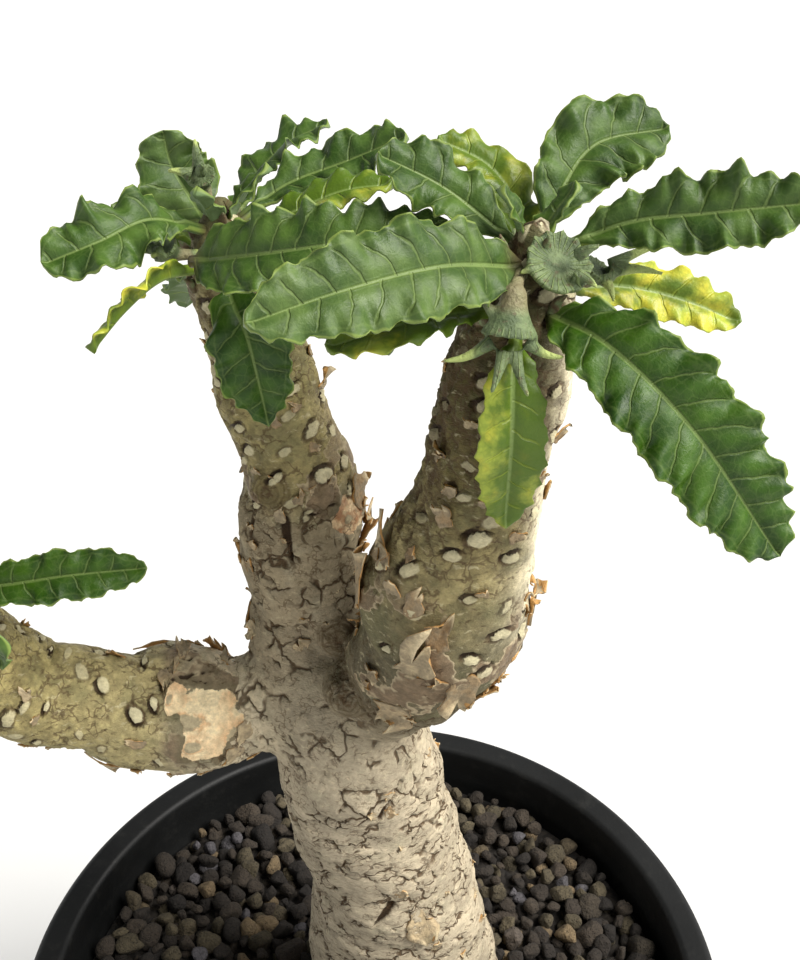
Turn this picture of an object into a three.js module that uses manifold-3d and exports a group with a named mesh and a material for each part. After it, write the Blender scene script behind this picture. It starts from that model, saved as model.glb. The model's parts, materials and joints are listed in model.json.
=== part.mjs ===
// A potted dorstenia: a stout stem with three limbs, each ending in a crown of crisped leaves,
// standing in gravel in a round plastic pot. Millimetres, +Z up. The origin is the middle of the
// pot's foot, and -Y is the front.
import * as THREE from 'three';
import { mergeVertices } from 'three/addons/utils/BufferGeometryUtils.js';
import Module from 'manifold-3d';

const wasm = await Module();
wasm.setup();

const GAP = 0.3; // clearance between pieces that touch

// Pot
const POT_HEIGHT = 125;
const RIM_RADIUS = 75;
const RIM_BREADTH = 6.8; // the band seen from above
const RIM_DEPTH = 14; // how far the band hangs down outside
const RIM_ROUND = 2; // how far its upper edges are rounded
const STEP_IN = 1.6; // from the band's inner edge to the wall's inside below it
const WALL = 2.2;
const FOOT_RADIUS = 54;
const FOOT_ROUND = 1.5;
const FLOOR = 3;
const POT_SIDES = 40;
const DRAINS = { count: 6, radius: 4.5, ring: 36, sides: 8 };

// Gravel: its top lies below the rim, and its grains are over twice their real size, each an
// octahedron with its radius between two limits, flattened and turned at random
const GRAVEL_TOP = 115;
const GRAINS = { spacing: 9.2, jitter: 2.6, smallest: 4.5, largest: 6, flat: 0.75, sunk: 0.13, seed: 5 };

// Limbs: the points of each one's middle line with its radius there, [x, y, z, radius]
const LIMBS = {
  trunk: {
    sides: 16, pitch: 8, seed: 1,
    line: [
      [10, 0, 66, 8], [11, 0, 92, 15], [9, 0, 114, 19.8], [7, 0, 128, 18.6], [5, 0, 147, 17.1],
      [3, 0, 164, 15.4], [-1, 0, 181, 14.5], [-3, 0, 193, 13.8], [-5, 1, 203, 12], [-7, 2, 211, 9],
      [-8, 3, 216, 4],
    ],
  },
  mid: {
    sides: 12, pitch: 5.4, seed: 2,
    line: [
      [-8, 4, 202, 11.5], [-11, 5, 215, 9.6], [-10, 6, 223, 10], [-11, 6, 232, 10.4], [-11, 7, 240, 10.4],
      [-11, 7, 246, 9.2], [-12, 7, 252, 8.2], [-13, 7, 256, 7.9], [-15, 7, 262, 8.3], [-16, 7, 268, 7.9],
      [-18, 6, 276, 7], [-20, 5, 282, 6], [-20, 4, 286, 5.2], [-20, 4, 290, 4], [-20, 4, 293, 2.2],
    ],
  },
  right: {
    sides: 12, pitch: 5.4, seed: 3,
    line: [
      [1, -2, 204, 7.5], [5, -6, 214, 9.5], [9, -10, 223, 11.3], [13, -13, 232, 12.9], [13, -15, 240, 12.6],
      [15, -16, 249, 10.8], [17, -17, 256, 9.4], [18, -17, 263, 8.9], [19, -17, 269, 8.8], [20, -17, 274, 9],
      [21, -17, 281, 8.2], [22, -17, 287, 6.8], [22, -17, 291, 5.6], [23, -17, 294, 4.2], [23, -17, 297, 2.4],
    ],
  },
  left: {
    sides: 12, pitch: 5.4, seed: 4,
    line: [
      [-13, 3, 203, 10], [-20, 2, 202, 8], [-24, 1, 201, 9.3], [-30, 0, 201, 11], [-36, 0, 201, 11.4],
      [-43, -2, 203, 10.1], [-48, -3, 206, 9.1], [-54, -4, 208, 9.3], [-59, -5, 210, 9.4],
      [-63, -6, 215, 8.9], [-67, -7, 221, 8.4], [-70, -8, 228, 7.6], [-72, -8, 234, 6.2],
      [-72, -8, 239, 4.4], [-72, -8, 242, 2.4],
    ],
  },
};

// Waves that make a limb's section uneven: height as a share of the radius, lobes round it, radians
// of turn per millimetre along it, and how far each limb's seed shifts it
const SWELLS = [
  { height: 0.03, lobes: 2, climb: 0.13, shift: 1.7 },
  { height: 0.022, lobes: 3, climb: -0.21, shift: 2.9 },
  { height: 0.016, lobes: 5, climb: 0.47, shift: 0.8 },
];

// Old shoots that broke off: [x, y, z, radius], each a low dome sunk in the stem
const KNOBS = [[-2.5, -9, 214, 4.6], [-4.5, -2, 220, 3.8], [-14.5, 0.5, 248.5, 3.4], [2, 13, 176, 4.5]];

// Pointed scales round each growing tip: how many, how long, and half their breadth at the root
const SCALES = { count: 5, length: 3.4, root: 0.9, tip: 0.25, from: 0.985, pitch: 0.012 };

// Leaf scars climb each limb in a spiral from one share of its length to another
const SCARS = { tall: 1.5, wide: 2.1, proud: 0.55, sunk: 0.8, start: 40, turn: 137.5, sides: 5 };
const SCARRED = { mid: [0.52, 0.84, 10], right: [0.42, 0.86, 12], left: [0.38, 0.86, 11] };

// Bark flakes that stand off: limb, share of its length, angle from the front, breadth, length,
// how far the free end lifts, and which way it points (0 is along the limb)
const FLAKE = { rows: 3, columns: 3, thick: 0.8, sunk: 1, taper: 0.4, seed: 11 };
const FLAKES = [
  ['mid', 0.37, 84, 8, 10, 2.2, 20], ['mid', 0.47, 72, 7, 7, 1.8, 160], ['mid', 0.66, 92, 4, 4.5, 2, 60],
  ['mid', 0.32, 190, 7, 9, 1.8, 10], ['mid', 0.5, 235, 5, 6, 1.8, 190],
  ['right', 0.42, -88, 5, 8, 2.2, 15], ['right', 0.49, -78, 5, 7, 2.2, -10],
  ['right', 0.38, -25, 5, 8, 2, 30], ['right', 0.33, 12, 5, 7, 1.8, 160],
  ['right', 0.27, 84, 6, 9, 2.2, 170], ['right', 0.38, 88, 5, 8, 2.2, 10],
  ['right', 0.2, -8, 6, 7, 1.6, 190], ['right', 0.34, 175, 7, 9, 2, 0],
  ['left', 0.22, 28, 9, 8, 1.5, 95], ['left', 0.25, 165, 8, 9, 1.8, 10],
  ['left', 0.34, -78, 5, 6, 2.6, -20], ['left', 0.3, -100, 7, 6, 1.6, 200],
  ['trunk', 0.62, 22, 5, 6, 1.4, 170], ['trunk', 0.5, -40, 5, 7, 1.3, 10],
  ['trunk', 0.72, 150, 6, 7, 1.5, 190],
];

// Leaves: blade thickness, and how much thicker the midrib is below
const BLADE = 0.9;
const RIB = 0.7;
const STALK_HALF = 0.9;
const TIP_HALF = 0.35;
const STATION = 4.3; // spacing of the cross-sections along a leaf
const WAVELENGTH = 8.5; // of the edge, along the leaf

// What leaves share: the stalk's share of the length, how soon the blade widens and narrows, the
// edge's wave and scallop as shares of the half width, the fold's slope in degrees, and the camber
const PLAIN_LEAF = {
  stalk: 0.12, rise: 0.75, fall: 0.5, ripple: 0.13, lobe: 0.06, fold: 12, camber: 0.1, columns: 5,
};
const YOUNG = { ripple: 0.2, columns: 3, stalk: 0.05 };

const CROWNS = { mid: [-20, 4, 287], right: [22.5, -17, 291], left: [-72, -8, 236] };
const SLATE_BLACK = 0x2a2d30;
const DARK_GRIT = 0x4d453c;
const TAN = 0xa8987a;
const GREEN = 0x4a6b3c;
const GREY_GREEN = 0x68835c;
const DARK_GREEN = 0x35562a;
const YELLOW = 0xa9a83a;

// Each leaf: name, colour, width, the four points its midrib runs through, the way its face looks
// at mid length, and what else sets it apart from a plain leaf
const LEAVES = [
  ['leaf_mid_01', GREEN, 11, [[-22, 2, 291], [-28, -5, 295], [-34, -11, 294], [-41, -14, 292]],
    [-0.2, -0.85, 0.6], { ripple: 0.3 }],
  ['leaf_mid_02', GREY_GREEN, 11.5, [[-22, 6, 290], [-25, 10, 293], [-28, 13, 297], [-29, 14, 302]],
    [0.2, -0.95, 0.3], { ripple: 0.2, rise: 0.5, fall: 0.45 }],
  ['leaf_mid_03', YELLOW, 7, [[-23, 0, 286], [-27, -8, 288], [-31, -14, 286], [-35, -19, 282]],
    [-0.6, 0.45, 0.8], {}],
  ['leaf_mid_04', YELLOW, 7.5, [[-22, 5, 285], [-27, 12, 287], [-33, 16, 288], [-39, 18, 289]],
    [0, -0.6, 0.8], {}],
  ['leaf_mid_05', GREEN, 12, [[-23, -5, 289], [-13, -13, 293], [0, -16, 296], [12, -12, 297]],
    [0, -0.7, 0.7], { rise: 0.4, fall: 0.6, stalk: 0.03 }],
  ['leaf_mid_06', DARK_GREEN, 11.5, [[-19, -3, 286], [-17, -9, 284], [-15, -12, 280], [-13, -12, 267]],
    [0.1, -1, 0.35], { ripple: 0.08, rise: 0.7, fall: 0.75 }],
  ['leaf_mid_07', GREEN, 8.5, [[-19, 8, 289], [-17, 16, 293], [-12, 20, 298], [-5, 22, 301]],
    [-0.3, -0.1, 0.95], { ripple: 0.25 }],
  ['leaf_mid_08', GREEN, 10, [[-18, 5, 291], [-11, 10, 295], [-2, 12, 298], [7, 11, 302]],
    [-0.3, -0.5, 0.9], { ripple: 0.2 }],
  ['leaf_mid_09', YELLOW, 7.5, [[-18, 1, 290], [-9, -2, 295], [-2, -2, 298], [5, -2, 299]],
    [0, -0.3, 0.9], { ripple: 0.08 }],
  ['leaf_mid_10', GREEN, 10, arch('mid', 78, 10, 31, -48, 1), [0, 0, 1], {}],
  ['leaf_mid_11', GREEN, 9.5, arch('mid', 116, -4, 29, -50, 5), [0, 0, 1], {}],
  ['leaf_right_01', GREY_GREEN, 12.5, [[21, -20, 294], [11, -30, 298], [0, -37, 298], [-11, -42, 296]],
    [0, -0.8, 0.6], { ripple: 0.15 }],
  ['leaf_right_02', YELLOW, 8, [[19, -20, 288], [11, -26, 290], [4, -30, 290], [-3, -31, 288]],
    [0, -0.4, 0.9], { ripple: 0.08 }],
  ['leaf_right_03', GREEN, 10, [[22, -15, 294], [17, -14, 298], [11, -12, 302], [3, -12, 306]],
    [0.3, -0.7, 0.8], { ripple: 0.2 }],
  ['leaf_right_04', YELLOW, 8, [[22, -14, 291], [21.5, -5, 297], [18, 0, 301], [11, 2, 304]],
    [0.2, -0.4, 0.9], {}],
  ['leaf_right_05', GREEN, 12.5, [[24, -14, 294], [27, -9, 300], [32, -4, 305], [42, 0, 306]],
    [-0.2, -0.9, 0.4], { ripple: 0.18 }],
  ['leaf_right_06', GREEN, 10.5, [[25, -16, 294], [34, -18, 299], [44, -20, 301], [56, -22, 303]],
    [0, -0.8, 0.6], { ripple: 0.3 }],
  ['leaf_right_07', DARK_GREEN, 14, [[24, -20, 288], [31, -30, 288], [41, -37, 280], [53, -40, 264]],
    [0.1, -0.9, 0.4], { rise: 0.55, fall: 0.45, stalk: 0.04 }],
  ['leaf_right_08', YELLOW, 8, [[25, -13, 288], [36, -9, 287], [45, -9, 285], [53, -10, 282]],
    [0, -0.75, 0.6], { ripple: 0.08 }],
  ['leaf_right_09', YELLOW, 9.2, [[21, -21, 286], [20, -28, 284], [20, -31, 275], [20, -29, 261]],
    [0.1, -1, 0.1], { ripple: 0.08, rise: 0.6, fall: 0.55 }],
  ['leaf_right_10', GREEN, 11, arch('right', 92, 10, 33, -46, 1), [0, 0, 1], {}],
  ['leaf_right_11', GREEN, 10, arch('right', 134, -6, 31, -50, 5), [0, 0, 1], {}],
  ['leaf_right_12', GREEN, 10.5, arch('right', 52, -10, 30, -50, 6), [0, 0, 1], {}],
  ['leaf_left_01', DARK_GREEN, 8.5, [[-70, -9, 236], [-58, -12, 238], [-46, -12, 240], [-34, -10, 240]],
    [0, -0.8, 0.6], {}],
  ['leaf_left_02', GREEN, 9, [[-70, -12, 236], [-62, -22, 241], [-54, -29, 242], [-51, -30, 237]],
    [0.2, -1, 0.3], {}],
  ['leaf_left_03', GREY_GREEN, 12.5, arch('left', 203, 24, 41, -22), [0, 0, 1], {}],
  ['leaf_left_04', GREEN, 12, arch('left', 158, 16, 40, -26), [0, 0, 1], {}],
  ['leaf_left_05', GREEN, 11, arch('left', 118, 24, 34, -20), [0, 0, 1], { ripple: 0.18 }],
  ['leaf_left_06', GREY_GREEN, 10, arch('left', 88, 38, 29, -6), [0, 0, 1], { ripple: 0.2 }],
  ['leaf_left_07', GREEN, 12, arch('left', 257, 20, 38, -36), [0, 0, 1], {}],
  ['leaf_left_08', DARK_GREEN, 11, arch('left', 229, -10, 34, -54, 4), [0, 0, 1], {}],
  ['leaf_left_09', YELLOW, 9, arch('left', 181, -14, 30, -54, 3), [0, 0, 1], { ripple: 0.08 }],
  ['young_leaf_mid_1', GREEN, 4.6, arch('mid', 10, 74, 13, 34, -2), [0, 0, 1], YOUNG],
  ['young_leaf_mid_2', GREEN, 4.2, arch('mid', 250, 76, 12, 40, -1), [0, 0, 1], YOUNG],
  ['young_leaf_right_1', GREEN, 4.6, arch('right', 20, 76, 12, 40, -2), [0, 0, 1], YOUNG],
  ['young_leaf_right_2', GREEN, 4.2, arch('right', 165, 80, 10, 50, -3), [0, 0, 1], YOUNG],
  ['young_leaf_left_1', GREEN, 4.8, arch('left', 60, 74, 14, 36, -1), [0, 0, 1], YOUNG],
  ['young_leaf_left_2', GREEN, 4.4, arch('left', 320, 78, 12, 40, -2), [0, 0, 1], YOUNG],
];

// Flower heads: a stalk from root to centre, a flat head that looks along axis, and arms to their
// tips. The head's profile is [height, radius] in shares of its radius
const HEAD = { sides: 8, stalk: 1.1, armBase: 0.9, armTip: 0.3, back: -0.55 };
const HEAD_PROFILE = [[-0.7, 0.3], [-0.35, 0.75], [0, 1], [0.16, 0.72]];
const FLOWERS = [
  ['flower_right_1', {
    root: [22.5, -19, 290], centre: [18.5, -27.5, 291], axis: [-0.15, -0.75, -0.4], radius: 3,
    arms: [[11.5, -28, 287], [17, -31.5, 285.5], [21.5, -31, 285], [25, -28, 287], [15, -26, 294.5]],
  }],
  ['flower_right_2', {
    root: [24, -18, 292], centre: [25.5, -22.5, 295.5], axis: [0.25, -0.6, 0.75], radius: 4.2,
    arms: [[30, -24.5, 298.5], [30, -25.5, 293.5], [20.5, -24.5, 295]],
  }],
  ['flower_right_3', {
    root: [25, -17, 292], centre: [31.5, -17, 292.5], axis: [0.5, -0.2, 0.8], radius: 2.4,
    arms: [[39.5, -15, 295], [39.5, -18.5, 292.5], [33, -21.5, 290]],
  }],
  ['flower_mid_1', {
    root: [-21, 4, 291], centre: [-22.5, 5, 298], axis: [-0.1, -0.5, 0.8], radius: 2.2,
    arms: [[-23, 6, 303], [-27, 4, 299], [-21.5, 1.5, 300.5]],
  }],
  ['flower_mid_2', {
    root: [-22, 1, 288], centre: [-27.5, -1, 289.5], axis: [-0.5, -0.4, 0.6], radius: 2.3,
    arms: [[-36, -3.5, 290], [-30, 2.5, 289], [-28.5, -5, 289.5]],
  }],
  ['flower_left_1', {
    root: [-73, -9, 239], centre: [-79, -13, 245], axis: [-0.5, -0.5, 0.7], radius: 3,
    arms: [[-86, -15, 246], [-82, -19.5, 245], [-76, -17.5, 248], [-76, -10, 250], [-83, -9, 249]],
  }],
];

// Four points of a midrib that leaves a crown: azimuth and rise at its base, length, the rise that
// it has bent to at its tip, and how far below the crown's middle it starts
function arch(crown, azimuth, rise, length, endRise, down = 0) {
  const steps = 3;
  const heading = THREE.MathUtils.degToRad(azimuth);
  const base = new THREE.Vector3(...CROWNS[crown]);
  base.z -= down;
  const points = [base.clone()];
  for (let i = 0; i < steps; i += 1) {
    const pitch = THREE.MathUtils.degToRad(rise + ((endRise - rise) * (i + 0.5)) / steps);
    const level = Math.cos(pitch);
    const step = new THREE.Vector3(Math.cos(heading) * level, Math.sin(heading) * level, Math.sin(pitch));
    base.addScaledVector(step, length / steps);
    points.push(base.clone());
  }
  return points.map((point) => point.toArray());
}

// A repeatable stream of numbers from 0 to 1
function seeded(seed) {
  let state = seed >>> 0;
  return () => {
    state = (state + 0x6d2b79f5) >>> 0;
    let mixed = Math.imul(state ^ (state >>> 15), state | 1);
    mixed ^= mixed + Math.imul(mixed ^ (mixed >>> 7), mixed | 61);
    return ((mixed ^ (mixed >>> 14)) >>> 0) / 4294967296;
  };
}

// A closed mesh from corners and triangles becomes a solid
function solidOf(corners, triangles) {
  return new wasm.Manifold(new wasm.Mesh({
    numProp: 3,
    vertProperties: new Float32Array(corners.flatMap((corner) => corner.toArray())),
    triVerts: new Uint32Array(triangles.flat()),
  }));
}

// A three.js geometry becomes a solid once its seams are merged and its flat triangles dropped
function solidOfGeometry(geometry) {
  geometry.deleteAttribute('normal');
  geometry.deleteAttribute('uv');
  const merged = mergeVertices(geometry, 1e-4);
  const position = merged.getAttribute('position');
  const corners = [];
  for (let i = 0; i < position.count; i += 1) {
    corners.push(new THREE.Vector3().fromBufferAttribute(position, i));
  }
  const triangles = [];
  for (let i = 0; i < merged.index.count; i += 3) {
    const [a, b, c] = [0, 1, 2].map((k) => merged.index.getX(i + k));
    if (a !== b && b !== c && c !== a) {
      triangles.push([a, b, c]);
    }
  }
  return solidOf(corners, triangles);
}

function geometryOf(solid) {
  const mesh = solid.getMesh();
  const geometry = new THREE.BufferGeometry();
  geometry.setAttribute('position', new THREE.BufferAttribute(mesh.vertProperties, 3));
  geometry.setIndex(new THREE.BufferAttribute(mesh.triVerts, 1));
  geometry.computeVertexNormals();
  return geometry;
}

function union(solids) {
  return solids.reduce((whole, solid) => whole.add(solid));
}

function largestBody(solid) {
  return solid.decompose().reduce((best, body) => (body.volume() > best.volume() ? body : best));
}

// Rings of equal count, counter-clockwise seen from the end they run to, closed at both ends
function loft(rings) {
  const count = rings[0].length;
  const corners = rings.flat();
  const triangles = [];
  for (let i = 0; i + 1 < rings.length; i += 1) {
    for (let j = 0; j < count; j += 1) {
      const k = (j + 1) % count;
      const [a, b] = [i * count + j, i * count + k];
      triangles.push([a, b, b + count], [a, b + count, a + count]);
    }
  }
  [0, rings.length - 1].forEach((end) => {
    const middle = rings[end].reduce((sum, corner) => sum.add(corner), new THREE.Vector3());
    corners.push(middle.divideScalar(count));
    for (let j = 0; j < count; j += 1) {
      const [a, b] = [end * count + j, end * count + ((j + 1) % count)];
      triangles.push(end === 0 ? [b, a, corners.length - 1] : [a, b, corners.length - 1]);
    }
  });
  return solidOf(corners, triangles);
}

// Two unit vectors square to a direction, which turn counter-clockwise about it
function across(direction) {
  const hint = Math.abs(direction.z) < 0.9 ? new THREE.Vector3(0, 0, 1) : new THREE.Vector3(1, 0, 0);
  const first = new THREE.Vector3().crossVectors(hint, direction).normalize();
  const second = new THREE.Vector3().crossVectors(direction, first).normalize();
  return [first, second];
}

function roundRing(centre, direction, radius, sides) {
  const [first, second] = across(direction);
  return Array.from({ length: sides }, (_, k) => {
    const angle = (2 * Math.PI * k) / sides;
    return centre.clone()
      .addScaledVector(first, radius * Math.cos(angle))
      .addScaledVector(second, radius * Math.sin(angle));
  });
}

function spike(from, to, baseRadius, tipRadius, sides) {
  const direction = new THREE.Vector3().subVectors(to, from).normalize();
  return loft([roundRing(from, direction, baseRadius, sides), roundRing(to, direction, tipRadius, sides)]);
}

function smoothCurve(points) {
  return new THREE.CatmullRomCurve3(points, false, 'catmullrom', 0.5);
}

// A limb's middle line and its girth, which share one parameter
const limbs = Object.fromEntries(Object.entries(LIMBS).map(([name, limb]) => [name, {
  ...limb,
  centre: smoothCurve(limb.line.map(([x, y, z]) => new THREE.Vector3(x, y, z))),
  girth: smoothCurve(limb.line.map((row) => new THREE.Vector3(row[3], 0, 0))),
}]));

// The swell of the bark round a limb, as a share of its radius
function swell(limb, along, angle) {
  return SWELLS.reduce((sum, wave) => (
    sum + wave.height * Math.sin(wave.lobes * angle + wave.climb * along + wave.shift * limb.seed)
  ), 1);
}

// Where a limb's surface is at a share of its length and an angle from the front, in radians
function onLimb(name, share, angle) {
  const limb = limbs[name];
  const t = limb.centre.getUtoTmapping(share);
  const point = limb.centre.getPoint(t);
  const along = limb.centre.getTangent(t);
  const front = new THREE.Vector3(0, -1, 0).addScaledVector(along, along.y).normalize();
  const side = new THREE.Vector3().crossVectors(along, front);
  const outward = front.multiplyScalar(Math.cos(angle)).addScaledVector(side, Math.sin(angle));
  const radius = limb.girth.getPoint(t).x * swell(limb, share * limb.centre.getLength(), angle);
  return { point, along, outward, radius };
}

function limbSolid(name, extra) {
  const limb = limbs[name];
  const steps = Math.round(limb.centre.getLength() / limb.pitch);
  const rings = [];
  for (let i = 0; i <= steps; i += 1) {
    const past = i === steps ? extra : -extra * (i === 0);
    rings.push(Array.from({ length: limb.sides }, (_, k) => {
      const { point, outward, along, radius } = onLimb(name, i / steps, (2 * Math.PI * k) / limb.sides);
      return point.addScaledVector(outward, radius + extra).addScaledVector(along, past);
    }));
  }
  return loft(rings);
}

// A spot near a limb's surface: so far up and round it from a start, and so high above it
function nearLimb(name, share, angle, up, round, height) {
  const start = onLimb(name, share, angle);
  const spot = onLimb(name, share + up / limbs[name].centre.getLength(), angle + round / start.radius);
  return { at: spot.point.addScaledVector(spot.outward, spot.radius + height), outward: spot.outward };
}

// A low oval pad where a leaf fell
function scarSolid(name, share, angle, extra) {
  const rings = [[-SCARS.sunk, 1.15], [SCARS.proud + extra, 0.8]].map(([height, size]) => (
    Array.from({ length: SCARS.sides }, (_, k) => {
      const turn = (2 * Math.PI * k) / SCARS.sides;
      const round = (SCARS.wide * size + extra) * Math.cos(turn);
      const up = (SCARS.tall * size + extra) * Math.sin(turn);
      return nearLimb(name, share, angle, up, round, height).at;
    })
  ));
  return loft(rings);
}

function scarSolids(extra) {
  return Object.entries(SCARRED).flatMap(([name, [from, to, count]]) => (
    Array.from({ length: count }, (_, k) => {
      const angle = THREE.MathUtils.degToRad(SCARS.turn * k + SCARS.start);
      return scarSolid(name, from + ((to - from) * k) / (count - 1), angle, extra);
    })
  ));
}

// A flake of bark: its root is sunk in the limb and its free end curls off
function flakeSolid([name, share, degrees, breadth, length, lift, points], random, extra) {
  const angle = THREE.MathUtils.degToRad(degrees);
  const heading = THREE.MathUtils.degToRad(points);
  const { rows, columns, thick, sunk } = FLAKE;
  const tops = [];
  const ups = [];
  for (let i = 0; i < rows; i += 1) {
    const s = i / (rows - 1);
    const half = (breadth / 2) * (1 - FLAKE.taper * s * s) * (0.85 + 0.3 * random());
    for (let j = 0; j < columns; j += 1) {
      const forward = (s - 0.4) * length + (random() - 0.5) * s;
      const sideways = (j - 1) * (half + extra);
      const up = forward * Math.cos(heading) - sideways * Math.sin(heading);
      const round = forward * Math.sin(heading) + sideways * Math.cos(heading);
      const spot = nearLimb(name, share, angle, up, round, thick - sunk + lift * s ** 1.5 + extra);
      tops.push(spot.at);
      ups.push(spot.outward);
    }
  }
  return slab(tops, rows, columns, ups, () => thick + 2 * extra);
}

// A slab under a grid of points: its underside is the same grid moved down by each point's
// thickness, with the diagonals alike on both faces
function slab(tops, rows, columns, ups, thickness) {
  const bottoms = tops.map((top, i) => top.clone().addScaledVector(ups[i], -thickness(i)));
  const count = tops.length;
  const triangles = [];
  for (let i = 0; i + 1 < rows; i += 1) {
    for (let j = 0; j + 1 < columns; j += 1) {
      const [a, b] = [i * columns + j, i * columns + j + 1];
      const [c, d] = [b + columns, a + columns];
      const halves = (i + j) % 2 ? [[a, b, c], [a, c, d]] : [[a, b, d], [b, c, d]];
      halves.forEach(([p, q, r]) => {
        triangles.push([p, q, r], [p + count, r + count, q + count]);
      });
    }
  }
  const run = (length, at) => Array.from({ length }, (_, k) => at(k));
  const edge = [
    ...run(columns, (k) => k),
    ...run(rows - 1, (k) => (k + 2) * columns - 1),
    ...run(columns - 1, (k) => rows * columns - 2 - k),
    ...run(rows - 2, (k) => (rows - 2 - k) * columns),
  ];
  edge.forEach((p, k) => {
    const q = edge[(k + 1) % edge.length];
    triangles.push([q, p, p + count], [q, p + count, q + count]);
  });
  return solidOf([...tops, ...bottoms], triangles);
}

function knobSolid([x, y, z, radius], extra) {
  const ball = new THREE.IcosahedronGeometry(radius + extra, 1);
  return solidOfGeometry(ball.translate(x, y, z));
}

// Short pointed scales round each growing tip
function scaleSolids(extra) {
  const { count, length, root, tip, from, pitch } = SCALES;
  return Object.keys(CROWNS).flatMap((name) => Array.from({ length: count }, (_, k) => {
    const place = onLimb(name, from - pitch * k, THREE.MathUtils.degToRad(SCARS.turn * k + 15));
    const start = place.point.clone().addScaledVector(place.outward, place.radius - root);
    const reach = place.outward.clone().multiplyScalar(0.6).add(place.along);
    const end = start.clone().addScaledVector(reach, length + extra);
    return spike(start, end, root + extra, tip + extra, 3);
  }));
}

// The whole stem, or the space it takes when every part of it is swollen by extra
function stemSolid(extra) {
  const random = seeded(FLAKE.seed);
  return union([
    ...Object.keys(limbs).map((name) => limbSolid(name, extra)),
    ...KNOBS.map((knob) => knobSolid(knob, extra)),
    ...scarSolids(extra),
    ...FLAKES.map((flake) => flakeSolid(flake, random, extra)),
    ...scaleSolids(extra),
  ]);
}

// A blade's half width at a share of the leaf's length, between a narrow stalk and a blunt tip
function halfWidth(t, width, { stalk, rise, fall }) {
  const s = Math.max(0, (t - stalk) / (1 - stalk));
  const peak = (rise / (rise + fall)) ** rise * (fall / (rise + fall)) ** fall;
  const blade = ((width / 2) * s ** rise * Math.max(0, 1 - s) ** fall) / peak;
  return Math.max(blade, s < 0.5 ? STALK_HALF : TIP_HALF);
}

// The midrib's points and, at each, the way the leaf's face looks and its side-to-side direction
function midrib(points, face, stations) {
  const curve = smoothCurve(points.map((point) => new THREE.Vector3(...point)));
  const spots = [];
  for (let i = 0; i < stations; i += 1) {
    const share = i / (stations - 1);
    spots.push({ point: curve.getPointAt(share), along: curve.getTangentAt(share) });
  }
  const middle = Math.floor(stations / 2);
  const square = (vector, along) => vector.clone().addScaledVector(along, -vector.dot(along)).normalize();
  spots[middle].up = square(new THREE.Vector3(...face), spots[middle].along);
  for (let i = middle + 1; i < stations; i += 1) {
    spots[i].up = square(spots[i - 1].up, spots[i].along);
  }
  for (let i = middle - 1; i >= 0; i -= 1) {
    spots[i].up = square(spots[i + 1].up, spots[i].along);
  }
  spots.forEach((spot) => {
    spot.side = new THREE.Vector3().crossVectors(spot.along, spot.up);
  });
  return { spots, length: curve.getLength() };
}

// A leaf: folded along its midrib, arched across, with a waved and scalloped edge
function leafSolid(width, points, face, habit, serial) {
  const shape = { ...PLAIN_LEAF, ...habit };
  const { length } = midrib(points, face, 3);
  const stations = Math.max(6, Math.round(length / STATION) + 1);
  const { spots } = midrib(points, face, stations);
  const waves = Math.max(2, length / WAVELENGTH);
  const tops = [];
  const ups = [];
  const thickness = [];
  spots.forEach((spot, i) => {
    const t = i / (stations - 1);
    const s = Math.max(0, (t - shape.stalk) / (1 - shape.stalk));
    const half = halfWidth(t, width, shape);
    for (let j = 0; j < shape.columns; j += 1) {
      const q = (2 * j) / (shape.columns - 1) - 1;
      const edge = Math.abs(q);
      const phase = 2 * Math.PI * waves * s + serial + (q > 0 ? 1.9 : 0);
      const wave = shape.ripple * half * edge ** 1.6 * Math.sin(phase) * Math.min(1, 4 * s * (1 - s) + 0.2);
      const lift = edge * half * Math.tan(THREE.MathUtils.degToRad(shape.fold))
        - shape.camber * half * q * q + wave;
      tops.push(spot.point.clone()
        .addScaledVector(spot.side, q * half * (1 + shape.lobe * q * q * Math.sin(phase + 0.8)))
        .addScaledVector(spot.up, lift + BLADE / 2));
      ups.push(spot.up);
      thickness.push(BLADE + (q === 0 ? RIB * (1 - t) : 0));
    }
  });
  return slab(tops, stations, shape.columns, ups, (i) => thickness[i]);
}

// A flower head: stalk, a shallow round head that looks along its axis, and its tapering arms
function flowerSolid({ root, centre, axis, radius, arms }) {
  const middle = new THREE.Vector3(...centre);
  const look = new THREE.Vector3(...axis).normalize();
  const back = middle.clone().addScaledVector(look, HEAD.back * radius);
  const head = loft(HEAD_PROFILE.map(([height, size]) => (
    roundRing(middle.clone().addScaledVector(look, height * radius), look, size * radius, HEAD.sides)
  )));
  const tips = arms.map((arm) => {
    const tip = new THREE.Vector3(...arm);
    const reach = new THREE.Vector3().subVectors(tip, middle);
    const start = middle.clone().addScaledVector(reach.normalize(), 0.7 * radius);
    return spike(start, tip, HEAD.armBase, HEAD.armTip, 3);
  });
  return union([spike(new THREE.Vector3(...root), back, HEAD.stalk, HEAD.stalk, 6), head, ...tips]);
}

// The radius of the wall's inside below the rim's band
function innerRadius(z) {
  const foot = FOOT_RADIUS - WALL;
  const top = RIM_RADIUS - RIM_BREADTH - STEP_IN;
  return foot + ((top - foot) * (z - FLOOR)) / (POT_HEIGHT - RIM_DEPTH - FLOOR);
}

// A closed solid from a half profile of [radius, height] points round the Z axis
function turned(profile) {
  const outline = profile.map(([radius, height]) => new THREE.Vector2(radius, height));
  return solidOfGeometry(new THREE.LatheGeometry(outline, POT_SIDES).rotateX(Math.PI / 2));
}

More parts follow.
